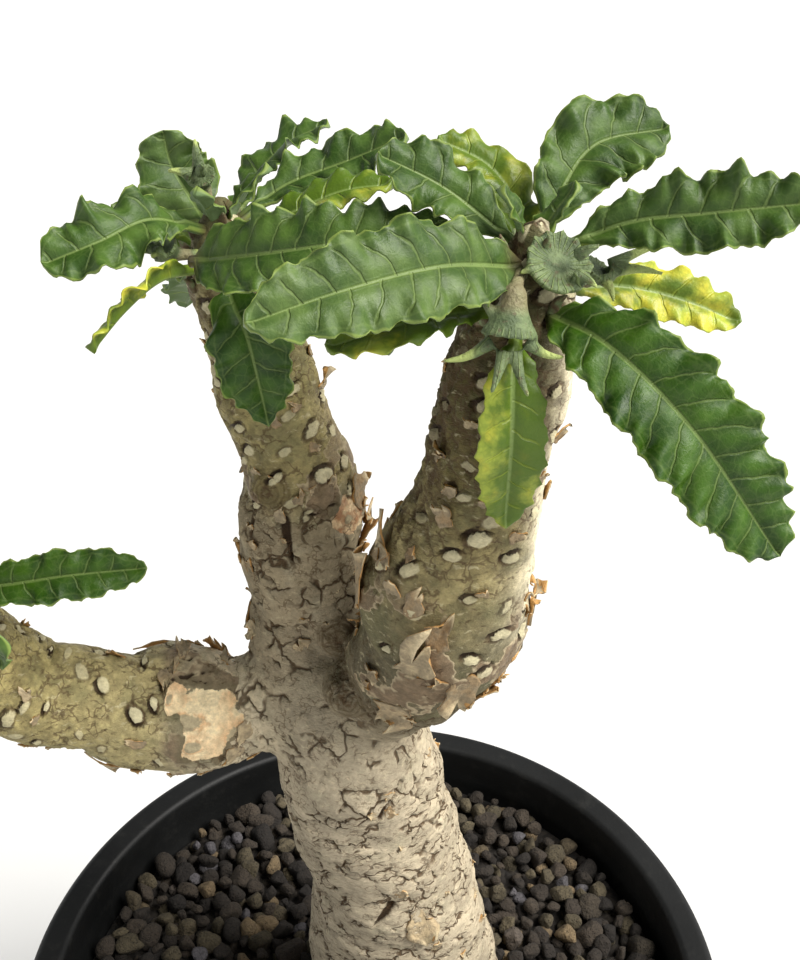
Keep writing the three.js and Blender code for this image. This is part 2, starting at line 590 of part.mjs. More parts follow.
function potSolid() {
  const band = POT_HEIGHT - RIM_DEPTH;
  const inside = RIM_RADIUS - RIM_BREADTH;
  const round = RIM_ROUND;
  let pot = turned([
    [0, 0], [FOOT_RADIUS - FOOT_ROUND, 0], [FOOT_RADIUS, FOOT_ROUND], [innerRadius(band) + WALL, band],
    [RIM_RADIUS - round / 2, band], [RIM_RADIUS, band + round / 2], [RIM_RADIUS, POT_HEIGHT - round],
    [RIM_RADIUS - 0.7 * round, POT_HEIGHT - 0.2 * round], [RIM_RADIUS - 1.5 * round, POT_HEIGHT],
    [inside + round / 2, POT_HEIGHT - round / 2], [inside, POT_HEIGHT - 1.4 * round],
    [innerRadius(band), band], [innerRadius(FLOOR), FLOOR], [0, FLOOR],
  ]);
  for (let k = 0; k < DRAINS.count; k += 1) {
    const angle = (2 * Math.PI * k) / DRAINS.count;
    const hole = new THREE.CylinderGeometry(DRAINS.radius, DRAINS.radius, 4 * FLOOR, DRAINS.sides);
    hole.rotateX(Math.PI / 2).translate(DRAINS.ring * Math.cos(angle), DRAINS.ring * Math.sin(angle), 0);
    pot = pot.subtract(solidOfGeometry(hole));
  }
  return pot;
}

// Grains on a jittered triangular grid, clear of the pot's wall and of the stem
function grainSolids(wall) {
  const random = seeded(GRAINS.seed);
  const rowHeight = GRAINS.spacing * Math.sqrt(0.75);
  const rows = Math.ceil(wall / rowHeight);
  const [stemX, stemY, , stemRadius] = LIMBS.trunk.line[2];
  const grains = [];
  for (let row = -rows; row <= rows; row += 1) {
    for (let column = -rows - 1; column <= rows + 1; column += 1) {
      const x = (column + (row % 2 ? 0.5 : 0)) * GRAINS.spacing + (random() - 0.5) * GRAINS.jitter;
      const y = row * rowHeight + (random() - 0.5) * GRAINS.jitter;
      const radius = GRAINS.smallest + (GRAINS.largest - GRAINS.smallest) * random();
      const turn = new THREE.Euler(6 * random(), 6 * random(), 6 * random());
      const stretch = 0.85 + 0.3 * random();
      const clearOfStem = Math.hypot(x - stemX, y - stemY) > stemRadius + 0.35 * radius;
      if (Math.hypot(x, y) < wall - radius && clearOfStem) {
        const grain = new THREE.OctahedronGeometry(radius, 0);
        grain.applyMatrix4(new THREE.Matrix4().makeRotationFromEuler(turn));
        grain.scale(1, stretch, GRAINS.flat).translate(x, y, GRAVEL_TOP - GRAINS.sunk * radius);
        grains.push(solidOfGeometry(grain));
      }
    }
  }
  return grains;
}

// The pot's filling, with a plain hole for the stem, and grains standing out of its top
function gravelSolid() {
  const band = POT_HEIGHT - RIM_DEPTH;
  const bottom = FLOOR + GAP;
  const wall = innerRadius(band) - GAP;
  const filling = turned([
    [0, bottom], [innerRadius(bottom) - GAP, bottom], [wall, band], [wall, GRAVEL_TOP], [0, GRAVEL_TOP],
  ]);
  const whole = filling.add(union(grainSolids(wall - GAP)));
  return largestBody(whole.subtract(limbSolid('trunk', GAP)));
}

const plant = new THREE.Group();

function place(name, solid, color, roughness) {
  const material = new THREE.MeshStandardMaterial({ color, roughness, metalness: 0 });
  const mesh = new THREE.Mesh(geometryOf(solid), material);
  mesh.name = name;
  plant.add(mesh);
}

const stemSpace = stemSolid(GAP);
place('pot', potSolid(), SLATE_BLACK, 0.65);
place('gravel', gravelSolid(), DARK_GRIT, 0.95);
place('stem', stemSolid(0), TAN, 0.9);
LEAVES.forEach(([name, color, width, points, face, habit], serial) => {
  place(name, largestBody(leafSolid(width, points, face, habit, serial).subtract(stemSpace)), color, 0.5);
});
FLOWERS.forEach(([name, flower]) => {
  place(name, largestBody(flowerSolid(flower).subtract(stemSpace)), GREY_GREEN, 0.6);
});

export default plant;
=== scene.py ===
"""A potted dorstenia, dressed: bark, leaves, flower heads, gravel and pot.

Shapes are worked out in millimetres and turned to metres when a mesh is made. +Z is up, -Y is the
front, and the origin is the middle of the pot's foot.
"""
import json
import math

import bmesh
import bpy
import numpy as np
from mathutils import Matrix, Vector


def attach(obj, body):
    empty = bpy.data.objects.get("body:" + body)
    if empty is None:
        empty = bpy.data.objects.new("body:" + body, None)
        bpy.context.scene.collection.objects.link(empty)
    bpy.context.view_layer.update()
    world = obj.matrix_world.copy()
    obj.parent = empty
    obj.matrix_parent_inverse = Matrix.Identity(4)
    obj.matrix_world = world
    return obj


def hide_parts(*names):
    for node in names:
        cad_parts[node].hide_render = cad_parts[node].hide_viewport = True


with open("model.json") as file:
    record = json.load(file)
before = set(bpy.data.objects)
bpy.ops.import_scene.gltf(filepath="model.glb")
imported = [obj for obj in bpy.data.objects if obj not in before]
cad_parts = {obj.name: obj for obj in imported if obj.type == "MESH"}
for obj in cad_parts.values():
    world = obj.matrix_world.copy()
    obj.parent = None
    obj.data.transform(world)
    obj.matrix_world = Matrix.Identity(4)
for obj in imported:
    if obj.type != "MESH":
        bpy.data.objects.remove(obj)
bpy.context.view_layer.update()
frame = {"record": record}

MM = 0.001
FRONT = np.array([0.0, -1.0, 0.0])

# Camera: focal length in pixels of an image 800 wide and 960 high, how far it looks down, its place
FOCAL_PX = 1150
LONG_SIDE_PX = 960
SENSOR_MM = 36
LOOKS_DOWN = 31.8
CAMERA_PLACE = (5.925, -156.919, 347.428)

# Pot
POT_HEIGHT = 125
RIM_RADIUS = 75
RIM_BREADTH = 6.8
RIM_DEPTH = 14
STEP_IN = 1.6
WALL = 2.2
FOOT_RADIUS = 54
FLOOR = 3
POT_SIDES = 192
DRAINS = {"count": 6, "radius": 4.5, "ring": 36}

# Gravel: real grains lie in two layers on the filling, whose top is a little below them
GRAVEL_TOP = 115
GRAIN_LAYERS = [
    {"height": -2.6, "gap": 3.5, "small": 1.4, "large": 2.2, "detail": 2},
    {"height": -0.4, "gap": 3.6, "small": 1.3, "large": 2.6, "detail": 3},
]

# Limbs: the points of each one's middle line with its radius there, [x, y, z, radius]
LIMB_SAMPLES = 241
CURVE_SAMPLES = 1001
LOCATED_AT_ONCE = 20000
SHARE_SOFTENED = 3.2 # millimetres: how far a painted point's share of a limb is evened out in bends
LIMBS = {
    "trunk": (1, [
        [10, 0, 66, 8], [11, 0, 92, 15], [9, 0, 114, 19.8], [7, 0, 128, 18.6], [5, 0, 147, 17.1],
        [3, 0, 164, 15.4], [-1, 0, 181, 14.5], [-3, 0, 193, 13.8], [-5, 1, 203, 12], [-7, 2, 211, 9],
        [-8, 3, 216, 4],
    ]),
    "mid": (2, [
        [-8, 4, 202, 11.5], [-11, 5, 215, 9.6], [-10, 6, 223, 10], [-11, 6, 232, 10.4],
        [-11, 7, 240, 10.4], [-11, 7, 246, 9.2], [-12, 7, 252, 8.2], [-13, 7, 256, 7.9],
        [-15, 7, 262, 8.3], [-16, 7, 268, 7.9], [-18, 6, 276, 7], [-20, 5, 282, 6],
        [-20, 4, 286, 5.2], [-20, 4, 290, 4], [-20, 4, 293, 2.2],
    ]),
    "right": (3, [
        [1, -2, 204, 7.5], [5, -6, 214, 9.5], [9, -10, 223, 11.3], [13, -13, 232, 12.9],
        [13, -15, 240, 12.6], [15, -16, 249, 10.8], [17, -17, 256, 9.4], [18, -17, 263, 8.9],
        [19, -17, 269, 8.8], [20, -17, 274, 9], [21, -17, 281, 8.2], [22, -17, 287, 6.8],
        [22, -17, 291, 5.6], [23, -17, 294, 4.2], [23, -17, 297, 2.4],
    ]),
    "left": (4, [
        [-13, 3, 203, 10], [-20, 2, 202, 8], [-24, 1, 201, 9.3], [-30, 0, 201, 11],
        [-36, 0, 201, 11.4], [-43, -2, 203, 10.1], [-48, -3, 206, 9.1], [-54, -4, 208, 9.3],
        [-59, -5, 210, 9.4], [-63, -6, 215, 8.9], [-67, -7, 221, 8.4], [-70, -8, 228, 7.6],
        [-72, -8, 234, 6.2], [-72, -8, 239, 4.4], [-72, -8, 242, 2.4],
    ]),
}
# Height as a share of the radius, lobes round the limb, radians along it, shift for each seed
SWELLS = [(0.03, 2, 0.13, 1.7), (0.022, 3, -0.21, 2.9), (0.016, 5, 0.47, 0.8)]
# How softly each limb grows out of the stem, and each knob too
FORK_BLEND = {"mid": 5.0, "left": 5.0, "right": 1.6}
KNOB_BLEND = 1.6
KNOBS = [[-2.5, -9, 214, 4.6], [-4.5, -2, 220, 3.8], [-14.5, 0.5, 248.5, 3.4], [2, 13, 176, 4.5]]
ROUGH_RING = {"sides": 24, "pitch": 3}
STEM_VOXEL = 1.26
FINE_ABOVE = 108 # the stem's mesh is finer over the gravel

# Leaf scars climb each limb in a spiral: from one share of its length to another, and how many
SCARRED = {"mid": (0.52, 0.84, 10), "right": (0.42, 0.86, 12), "left": (0.38, 0.86, 11)}
SCAR_TURN = 137.5
SCAR_START = 40
SCAR_WIDE = 1.75
SCAR_TALL = 1.0
# Scars between two of the spiral: share of the step, turn and size
SCAR_GROUP = ((0, 0, 1), (0.22, 2.1, 0.9), (0.42, 4.1, 0.8), (0.62, 5.4, 0.7), (0.82, 3.2, 0.75))

# Bark flakes that stand off: limb, share of its length, angle from the front, breadth, length,
# how far the free end lifts, and which way it points (0 is along the limb)
FLAKES = [
    ("mid", 0.36, 86, 6, 8, 2, 20), ("mid", 0.455, 84, 5, 5, 1.8, 60), ("mid", 0.66, 92, 4, 4.5, 2, 60),
    ("mid", 0.32, 190, 7, 9, 1.8, 10), ("mid", 0.5, 235, 5, 6, 1.8, 190),
    ("right", 0.42, -88, 5, 8, 2.2, 15), ("right", 0.49, -78, 5, 7, 2.2, -10),
    ("right", 0.38, -25, 5, 8, 2, 30), ("right", 0.33, 12, 5, 7, 1.8, 160),
    ("right", 0.27, 84, 6, 9, 2.2, 170), ("right", 0.38, 88, 5, 8, 2.2, 10),
    ("right", 0.2, -8, 6, 7, 1.6, 190), ("right", 0.34, 175, 7, 9, 2, 0),
    ("left", 0.25, 165, 8, 9, 1.8, 10),
    ("left", 0.34, -78, 5, 6, 2.6, -20), ("left", 0.3, -100, 7, 6, 1.6, 200),
    ("trunk", 0.62, 22, 5, 6, 1.4, 170), ("trunk", 0.5, -40, 5, 7, 1.3, 10),
    ("trunk", 0.72, 150, 6, 7, 1.5, 190),
]
# Smaller ones at random: limb, shares of its length, how many, smallest and largest breadth
FLAKED = [
    ("mid", 0.12, 0.47, 34, 1.4, 3.4), ("right", 0.14, 0.5, 44, 1.4, 3.8), ("left", 0.08, 0.36, 28, 1.4, 3.6),
    ("trunk", 0.4, 0.9, 26, 1.2, 2.6), ("mid", 0.46, 0.8, 14, 1.2, 2.4), ("right", 0.5, 0.85, 24, 1.2, 2.6),
    ("left", 0.36, 0.8, 14, 1.2, 2.4),
]
FLAKE_ROWS = 9
FLAKE_COLUMNS = 8
FLAKE_TAPER = 0.8
FLAKE_THICK = 0.28
FLAKE_LIES = 0.15

# What the bark is painted with. Stops: share of the limb, red, green, blue of its skin, how much it
# is cracked in plates and how much it is corky
ZONE_BLEND = 1.0
BARK_STOPS = {
    "trunk": [(0, 0.52, 0.44, 0.31, 1, 0), (0.8, 0.52, 0.44, 0.31, 1, 0), (1, 0.4, 0.34, 0.23, 0.8, 0)],
    "mid": [
        (0, 0.4, 0.33, 0.22, 1, 0), (0.44, 0.32, 0.26, 0.16, 1, 0), (0.5, 0.28, 0.23, 0.1, 0.4, 0.1),
        (0.7, 0.32, 0.27, 0.11, 0.2, 0.3), (0.88, 0.24, 0.2, 0.09, 0.1, 0.5), (1, 0.1, 0.1, 0.04, 0, 0.3),
    ],
    "right": [
        (0, 0.36, 0.3, 0.2, 0.8, 0), (0.2, 0.145, 0.12, 0.07, 0.8, 0), (0.38, 0.14, 0.12, 0.062, 0.5, 0),
        (0.52, 0.32, 0.265, 0.12, 0.2, 0.15), (0.66, 0.15, 0.12, 0.04, 0.1, 0.4),
        (0.8, 0.08, 0.066, 0.018, 0.1, 0.55), (0.92, 0.07, 0.06, 0.02, 0.1, 0.4), (1, 0.1, 0.1, 0.04, 0, 0.3),
    ],
    "left": [
        (0, 0.66, 0.56, 0.38, 1, 0), (0.14, 0.76, 0.65, 0.45, 0.9, 0), (0.24, 0.42, 0.35, 0.22, 0.5, 0),
        (0.34, 0.4, 0.335, 0.16, 0.2, 0.15), (0.7, 0.36, 0.3, 0.12, 0.2, 0.35), (1, 0.1, 0.1, 0.04, 0, 0.3),
    ],
}
# Where old bark gives way to skin: share of the limb, how much further at an angle, and that angle
SEAMS = {
    "trunk": (1.5, 0, 0), "mid": (0.475, -0.03, 0.1), "right": (0.17, 0.05, 1.2), "left": (0.13, 0.03, -1),
}
CORKY_SIDE = -95 # the angle at which the right limb is most corky
LIT_PALE_SIDE = 75 # the angle at which the right limb is palest: partly its papery cream bark, partly a painted highlight on the side the key light falls on
# The colour that side is painted towards: partly the cream bark, partly painted highlight
LIT_PALE_TONE = (0.95, 0.84, 0.6)
# Patches where the bark has peeled: limb, share, angle, half width round the limb, half length, and
# how much more rust than cream shows
PEELS = [
    ("left", 0.185, 36, 5.8, 5.8, 0), ("left", 0.265, 50, 3.2, 4.2, 0.2), ("left", 0.2, 4, 3.6, 3.2, 0.3),
    ("mid", 0.435, 62, 4.6, 3.4, 0.9), ("mid", 0.36, 84, 2.6, 4, 0.6),
    ("left", 0.34, 170, 5, 6, 0.3), ("right", 0.3, 205, 4, 6, 0.4),
]
PEEL_KEPT_CLEAR = 1.05 # of flakes, as a share of a patch's size
# Pale spots on the peeled patches: limb, share, angle, half width round the limb, half length
MARKS = [
    ("left", 0.228, 30, 1.5, 2.6), ("left", 0.215, 6, 1.2, 1.2), ("left", 0.14, 8, 1.7, 1.8),
    ("left", 0.285, 52, 1.0, 1.1), ("mid", 0.43, 56, 0.9, 0.9), ("right", 0.31, 200, 1.2, 1.6),
]
# Clefts and folds: limb, then share and angle at either end, and half width at the first end
CLEFTS = [
    ("mid", 0.458, -10, 0.345, -2, 1.1), ("mid", 0.46, 12, 0.475, 70, 0.3),
    ("left", 0.3, 66, 0.12, 88, 0.4), ("left", 0.31, 84, 0.2, 96, 0.4), ("left", 0.24, 74, 0.17, 66, 0.35),
    ("trunk", 0.66, 6, 0.63, -10, 1.0), ("trunk", 0.56, -30, 0.53, -18, 0.7),
    ("mid", 0.645, -72, 0.64, -44, 1.4), ("mid", 0.66, 2, 0.7, -4, 0.8),
    ("trunk", 0.8, 18, 0.84, 40, 0.6), ("right", 0.13, -10, 0.19, -35, 0.5),
]
# Concentric wrinkles round broken shoots and buds: place and reach
RINGS = [[-2.8, -13.4, 215, 6.2], [-4.6, -5.3, 221.5, 4.8], [-15.5, -2.6, 249, 5], [2.5, 17.3, 176.5, 6]]
RING_PITCH = 1.05
NEAR_BARK = 3 # how high over a limb's bark points still count as its own
PLATE = 4.4
TRUNK_TOP = 188
TRUNK_STRETCH = 1.8
SOIL_MARK = 122

# Leaves: half widths of stalk and tip, thickness of the blade, how far the midrib stands out below,
# and how long a ripple of the edge is
STALK_HALF = 0.9
TIP_HALF = 0.2
BLADE = 0.5
RIB = 0.8
WAVELENGTH = 8.5
MIDRIB_SAMPLES = 161
LEAF_STEP = 0.42
LEAF_ROWS_LEAST = 24
LEAF_COLUMNS = 25
TIP_CROWDING = 0.06
TOOTH = {"pitch": 1.7, "depth": 0.3, "lobe": 0.28}
VEIN = {"pitch": 3.9, "slant": 0.38, "bend": 0.045, "groove": 0.3}
PLAIN_LEAF = {
    "stalk": 0.12, "rise": 0.75, "fall": 0.5, "ripple": 0.13, "lobe": 0.06, "fold": 12, "camber": 0.1,
    "crisp": 0.55, "puff": 0.32, "frill": 0.5,
}
YOUNG = {"ripple": 0.2, "stalk": 0.05, "puff": 0.15, "frill": 0.2}
CROWNS = {"mid": [-20, 4, 287], "right": [22.5, -17, 291], "left": [-72, -8, 236]}

# Flower heads: a ring's height, radius and scallop as shares of the head's radius
HEAD = {"stalk": 0.95, "arm_base": 1.0, "arm_tip": 0.3}
HEAD_LOBES = 13
HEAD_SIDES = 48
HEAD_ACROSS = (0.2, 0.9, 0.4) # what a head's turn about its axis is counted from
HEAD_RINGS = {
    "dish": [
        (-1.0, 0.3, 0), (-0.8, 0.42, 0), (-0.55, 0.62, 0.01), (-0.3, 0.84, 0.03), (-0.05, 1.0, 0.05),
        (0.1, 1.05, 0.06), (0.13, 0.94, 0.05), (0.0, 0.68, 0.03), (-0.04, 0.4, 0.01), (0.02, 0.1, 0),
    ],
    "funnel": [
        (-1.6, 0.3, 0), (-1.4, 0.42, 0), (-1.1, 0.46, 0), (-0.8, 0.54, 0), (-0.45, 0.7, 0.02),
        (-0.2, 0.86, 0.04), (0.0, 0.98, 0.03), (0.05, 0.88, 0.03), (-0.1, 0.6, 0.01), (-0.16, 0.3, 0),
        (-0.12, 0.08, 0),
    ],
}
FLOWER_VOXEL = 0.26
FLOWER_SMOOTHING = 9
TIP_SCALES = {"count": 15, "length": 3.4, "root": 0.9, "from": 0.988, "pitch": 0.009}

# Filling and pot: the room between them, the filling's top below the grains, rounded edges
CLEARANCE = 0.3
FILLING_TOP = -3.2
FILLING_SIDES = 128
ROOT_ROOM = {"rings": 40, "sides": 48, "end": 0.7}
GRAIN_TRIES = 60000
GRAIN_CUTS = 9
GRAIN_SHARP = 50
RIM_ROUND = 2
LIP_ROUND = 1.4
BAND_ROUND = 0.8
STEP_ROUND = 1.2
FOOT_ROUND = 1.5
DRAIN_SIDES = 32

# Stage: a wide floor that glows a little, and a sky that is bright low down
FLOOR_RADIUS = 9000
FLOOR_SIDES = 96
FLOOR_GLOW = 0.2
WORLD_LIGHT = 0.16
HORIZON_LIGHT = 1.05
HORIZON_BAND = (0.45, 0.2) # where it has faded, and where it is full, as shares of straight up
# A broad soft light from the right, a little behind, as from a window
KEY_FROM = (0.67, -0.2, 0.88)
KEY_POWER = 6.4
KEY_SPREAD = 40 # degrees across
KEY_COLOUR = (1, 0.975, 0.93)


def unit(vectors):
    return vectors / np.linalg.norm(vectors, axis=-1, keepdims=True)


def dots(a, b):
    return np.einsum("ij,ij->i", a, b)


def circle(sides):
    """Angles at even steps round a circle."""
    return np.arange(sides) * 2 * np.pi / sides


def smoothstep(low, high, value):
    share = np.clip((value - low) / (high - low), 0, 1)
    return share * share * (3 - 2 * share)


def smooth_min(a, b, blend):
    share = np.clip(0.5 + 0.5 * (b - a) / blend, 0, 1)
    return b + (a - b) * share - blend * share * (1 - share)


def smooth_curve(rows, t):
    """Points of a curve through the rows, at parameters from 0 to 1."""
    rows = np.asarray(rows, float)
    last = len(rows) - 1
    at = np.clip(t, 0, 1) * last
    i = np.minimum(at.astype(int), last - 1)
    w = (at - i)[:, None]
    padded = np.vstack([2 * rows[0] - rows[1], rows, 2 * rows[-1] - rows[-2]])
    before, start, end, after = (padded[i + k] for k in range(4))
    leave = (end - before) / 2
    arrive = (after - start) / 2
    bend = 3 * w**2 - 2 * w**3
    return (1 - bend) * start + bend * end + (w**3 - 2 * w**2 + w) * leave + (w**3 - w**2) * arrive


def even_curve(rows, count):
    """Points at even distances along the curve, and its length."""
    fine = smooth_curve(rows, np.linspace(0, 1, CURVE_SAMPLES))
    steps = np.linalg.norm(np.diff(fine[:, :3], axis=0), axis=1)
    run = np.concatenate([[0], np.cumsum(steps)])
    even = np.linspace(0, run[-1], count)
    return np.stack([np.interp(even, run, column) for column in fine.T], axis=1), run[-1]


class Limb:
    """A limb's middle line and girth at even steps along it."""

    def __init__(self, seed, line):
        rows, self.length = even_curve(line, LIMB_SAMPLES)
        self.seed = seed
        self.points = rows[:, :3]
        self.girth = rows[:, 3]
        self.along = unit(np.gradient(self.points, axis=0))
        self.front = unit(FRONT - self.along * (self.along @ FRONT)[:, None])
        self.side = np.cross(self.along, self.front)

    def swell(self, share, angle):
        total = 1
        for height, lobes, climb, shift in SWELLS:
            total = total + height * np.sin(lobes * angle + climb * share * self.length + shift * self.seed)
        return total

    def between(self, values, index):
        low = np.minimum(index.astype(int), LIMB_SAMPLES - 2)
        rest = index - low
        if values.ndim > 1:
            rest = rest[:, None]
        return values[low] * (1 - rest) + values[low + 1] * rest

    def radius(self, share):
        return np.interp(share, np.linspace(0, 1, LIMB_SAMPLES), self.girth)

    def spot(self, share, angle, height=0.0):
        """A spot over the bark: its place, the way out of the bark, and the way along the limb."""
        values = (np.atleast_1d(value).astype(float) for value in (share, angle, height))
        share, angle, height = np.broadcast_arrays(*values)
        index = np.clip(share, 0, 1) * (LIMB_SAMPLES - 1)
        front, side = self.between(self.front, index), self.between(self.side, index)
        outward = unit(front * np.cos(angle)[:, None] + side * np.sin(angle)[:, None])
        radius = self.between(self.girth, index) * self.swell(share, angle) + height
        place = self.between(self.points, index) + outward * radius[:, None]
        return place, outward, self.between(self.along, index)

    def skin(self, rings, sides, end=1.0, height=0.0):
        """A closed tube over the bark, from the limb's start to a share of its length."""
        share = np.repeat(np.linspace(0, end, rings), sides)
        angle = np.tile(circle(sides), rings)
        return self.spot(share, angle, height)[0], tube_faces(rings, sides)

    def locate(self, points, soften=0.0):
        """Each point's share of the length, angle from the front, and height over the bark. Softened
        by some millimetres, the share doesn't jump inside a bend."""
        squares = np.sum(self.points**2, axis=1)
        found = []
        for part in np.array_split(points, 1 + len(points) // LOCATED_AT_ONCE):
            away = squares - 2 * part @ self.points.T
            if soften:
                pull = np.exp((away.min(axis=1, keepdims=True) - away) / soften**2)
                found.append(pull @ np.arange(LIMB_SAMPLES) / pull.sum(axis=1))
            else:
                found.append(np.argmin(away, axis=1))
        index = np.concatenate(found)
        if not soften:
            step = self.length / (LIMB_SAMPLES - 1)
            past = dots(points - self.points[index], self.along[index]) / step
            index = np.clip(index + past, 0, LIMB_SAMPLES - 1)
        out = points - self.between(self.points, index)
        front, side = self.between(self.front, index), self.between(self.side, index)
        angle = np.arctan2(dots(out, side), dots(out, front))
        share = index / (LIMB_SAMPLES - 1)
        radius = self.between(self.girth, index) * self.swell(share, angle)
        return share, angle, np.linalg.norm(out, axis=1) - radius


limbs = {name: Limb(seed, line) for name, (seed, line) in LIMBS.items()}


def new_object(name, points, faces, smooth=True):
    """A mesh object from points in millimetres."""
    mesh = bpy.data.meshes.new(name)
    mesh.from_pydata((np.asarray(points) * MM).tolist(), [], [list(face) for face in faces])
    if smooth:
        mesh.shade_smooth()
    piece = bpy.data.objects.new(name, mesh)
    bpy.context.scene.collection.objects.link(piece)
    return piece


def applied(piece):
    """The piece with its modifiers applied."""
    graph = bpy.context.evaluated_depsgraph_get()
    mesh = bpy.data.meshes.new_from_object(piece.evaluated_get(graph))
    old = piece.data
    piece.modifiers.clear()
    piece.data = mesh
    bpy.data.meshes.remove(old)
    mesh.name = piece.name
    return piece


def add_remesh(piece, voxel):
    """Lets a remesh make one closed skin of the piece's parts."""
    remesh = piece.modifiers.new("one", "REMESH")
    remesh.mode = "VOXEL"
    remesh.voxel_size = voxel * MM
    remesh.use_smooth_shade = True


def points_of(mesh):
    points = np.empty(len(mesh.vertices) * 3, np.float32)
    mesh.vertices.foreach_get("co", points)
    return points.reshape(-1, 3).astype(float) / MM


def normals_of(mesh):
    normals = np.empty(len(mesh.vertices) * 3, np.float32)
    mesh.vertex_normals.foreach_get("vector", normals)
    return normals.reshape(-1, 3).astype(float)


def move_points(mesh, points):
    mesh.vertices.foreach_set("co", (points * MM).astype(np.float32).ravel())
    mesh.update()


def paint(mesh, name, values):
    """Keeps a number or a vector for each vertex of the mesh, for its material to read."""
    values = np.asarray(values, np.float32)
    if values.ndim == 1:
        mesh.attributes.new(name, "FLOAT", "POINT").data.foreach_set("value", values)
    else:
        mesh.attributes.new(name, "FLOAT_VECTOR", "POINT").data.foreach_set("vector", values.ravel())


def tube_faces(rings, sides):
    """Quads between rings, and a closing face at either end."""
    faces = []
    for i in range(rings - 1):
        for j in range(sides):
            a = i * sides + j
            b = i * sides + (j + 1) % sides
            faces.append((a, b, b + sides, a + sides))
    faces.append(tuple(reversed(range(sides))))
    faces.append(tuple(range((rings - 1) * sides, rings * sides)))
    return faces


def sheet_faces(rows, columns):
    """A closed thin sheet: its upper grid comes first, then its lower one."""
    count = rows * columns
    upper = []
    for i in range(rows - 1):
        for j in range(columns - 1):
            a = i * columns + j
            upper.append((a, a + 1, a + columns + 1, a + columns))
    lower = [tuple(reversed([k + count for k in face])) for face in upper]
    edge = list(range(columns))
    edge += [i * columns + columns - 1 for i in range(1, rows)]
    edge += [(rows - 1) * columns + j for j in range(columns - 2, -1, -1)]
    edge += [i * columns for i in range(rows - 2, 0, -1)]
    sides = []
    for k, p in enumerate(edge):
        q = edge[(k + 1) % len(edge)]
        sides.append((q, p, p + count, q + count))
    return upper + lower + sides


def joined(parts):
    """The points and faces of several meshes as those of one."""
    points, faces = [], []
    for some, sides in parts:
        start = sum(len(part) for part in points)
        points.append(some)
        faces += [[k + start for k in face] for face in sides]
    return np.concatenate(points), faces


# Nodes that materials and the bark's relief share

def srgb(red, green, blue):
    """A colour given as on a screen, from 0 to 255, as the renderer takes it."""
    shares = [value / 255 for value in (red, green, blue)]
    return tuple(s / 12.92 if s <= 0.04045 else ((s + 0.055) / 1.055) ** 2.4 for s in shares)


BARK_CREAM = srgb(216, 200, 164)
BARK_TAN = srgb(184, 166, 132)
BARK_GREY = srgb(168, 159, 134)
FLAKE_TAN = srgb(150, 124, 88)
FLAKE_ORANGE = srgb(206, 158, 96)
FLAKE_GREY = srgb(142, 128, 102)
FILM_PINK = srgb(132, 112, 88)
SKIN_GREEN = srgb(108, 108, 74)
SKIN_DARK = srgb(92, 88, 62)
SCAR_CREAM = srgb(218, 208, 170)
CORK_BROWN = srgb(80, 64, 38)
CRACK_BROWN = srgb(82, 62, 40)
PEEL_CREAM = srgb(238, 218, 176)
PEEL_ORANGE = srgb(214, 158, 104)
PEEL_RUST = srgb(150, 98, 62)
MARK_GREY = srgb(176, 162, 130)
GRIT_BROWN = srgb(98, 84, 66)
VEIN_PALE = srgb(124, 144, 80)
MARGIN_LIME = srgb(140, 158, 76)
LEAF_UNDER = srgb(102, 124, 80)
LEAF_YELLOW = srgb(196, 188, 60)
LEAF_LIME = srgb(160, 174, 62)
LEAF_OLIVE = srgb(56, 88, 8)
STALK_BROWN = srgb(92, 74, 52)
STALK_TAN = srgb(150, 128, 98)
FLOWER_DARK = srgb(76, 92, 58)
FLOWER_GREEN = srgb(112, 128, 86)
FLOWER_LIME = srgb(160, 174, 100)
GRAIN_DARK = srgb(34, 29, 25)
GRAIN_BROWN = srgb(56, 48, 39)
GRAIN_OLIVE = srgb(78, 70, 53)
GRAIN_TAN = srgb(108, 92, 68)
GRAIN_LILAC = srgb(84, 81, 84)
POT_BLACK = srgb(11, 12, 12)
POT_SLATE = srgb(17, 18, 18)
POT_DUST = srgb(62, 61, 57)
FLOOR_WHITE = srgb(202, 202, 201)
WORLD_WHITE = srgb(248, 250, 253)


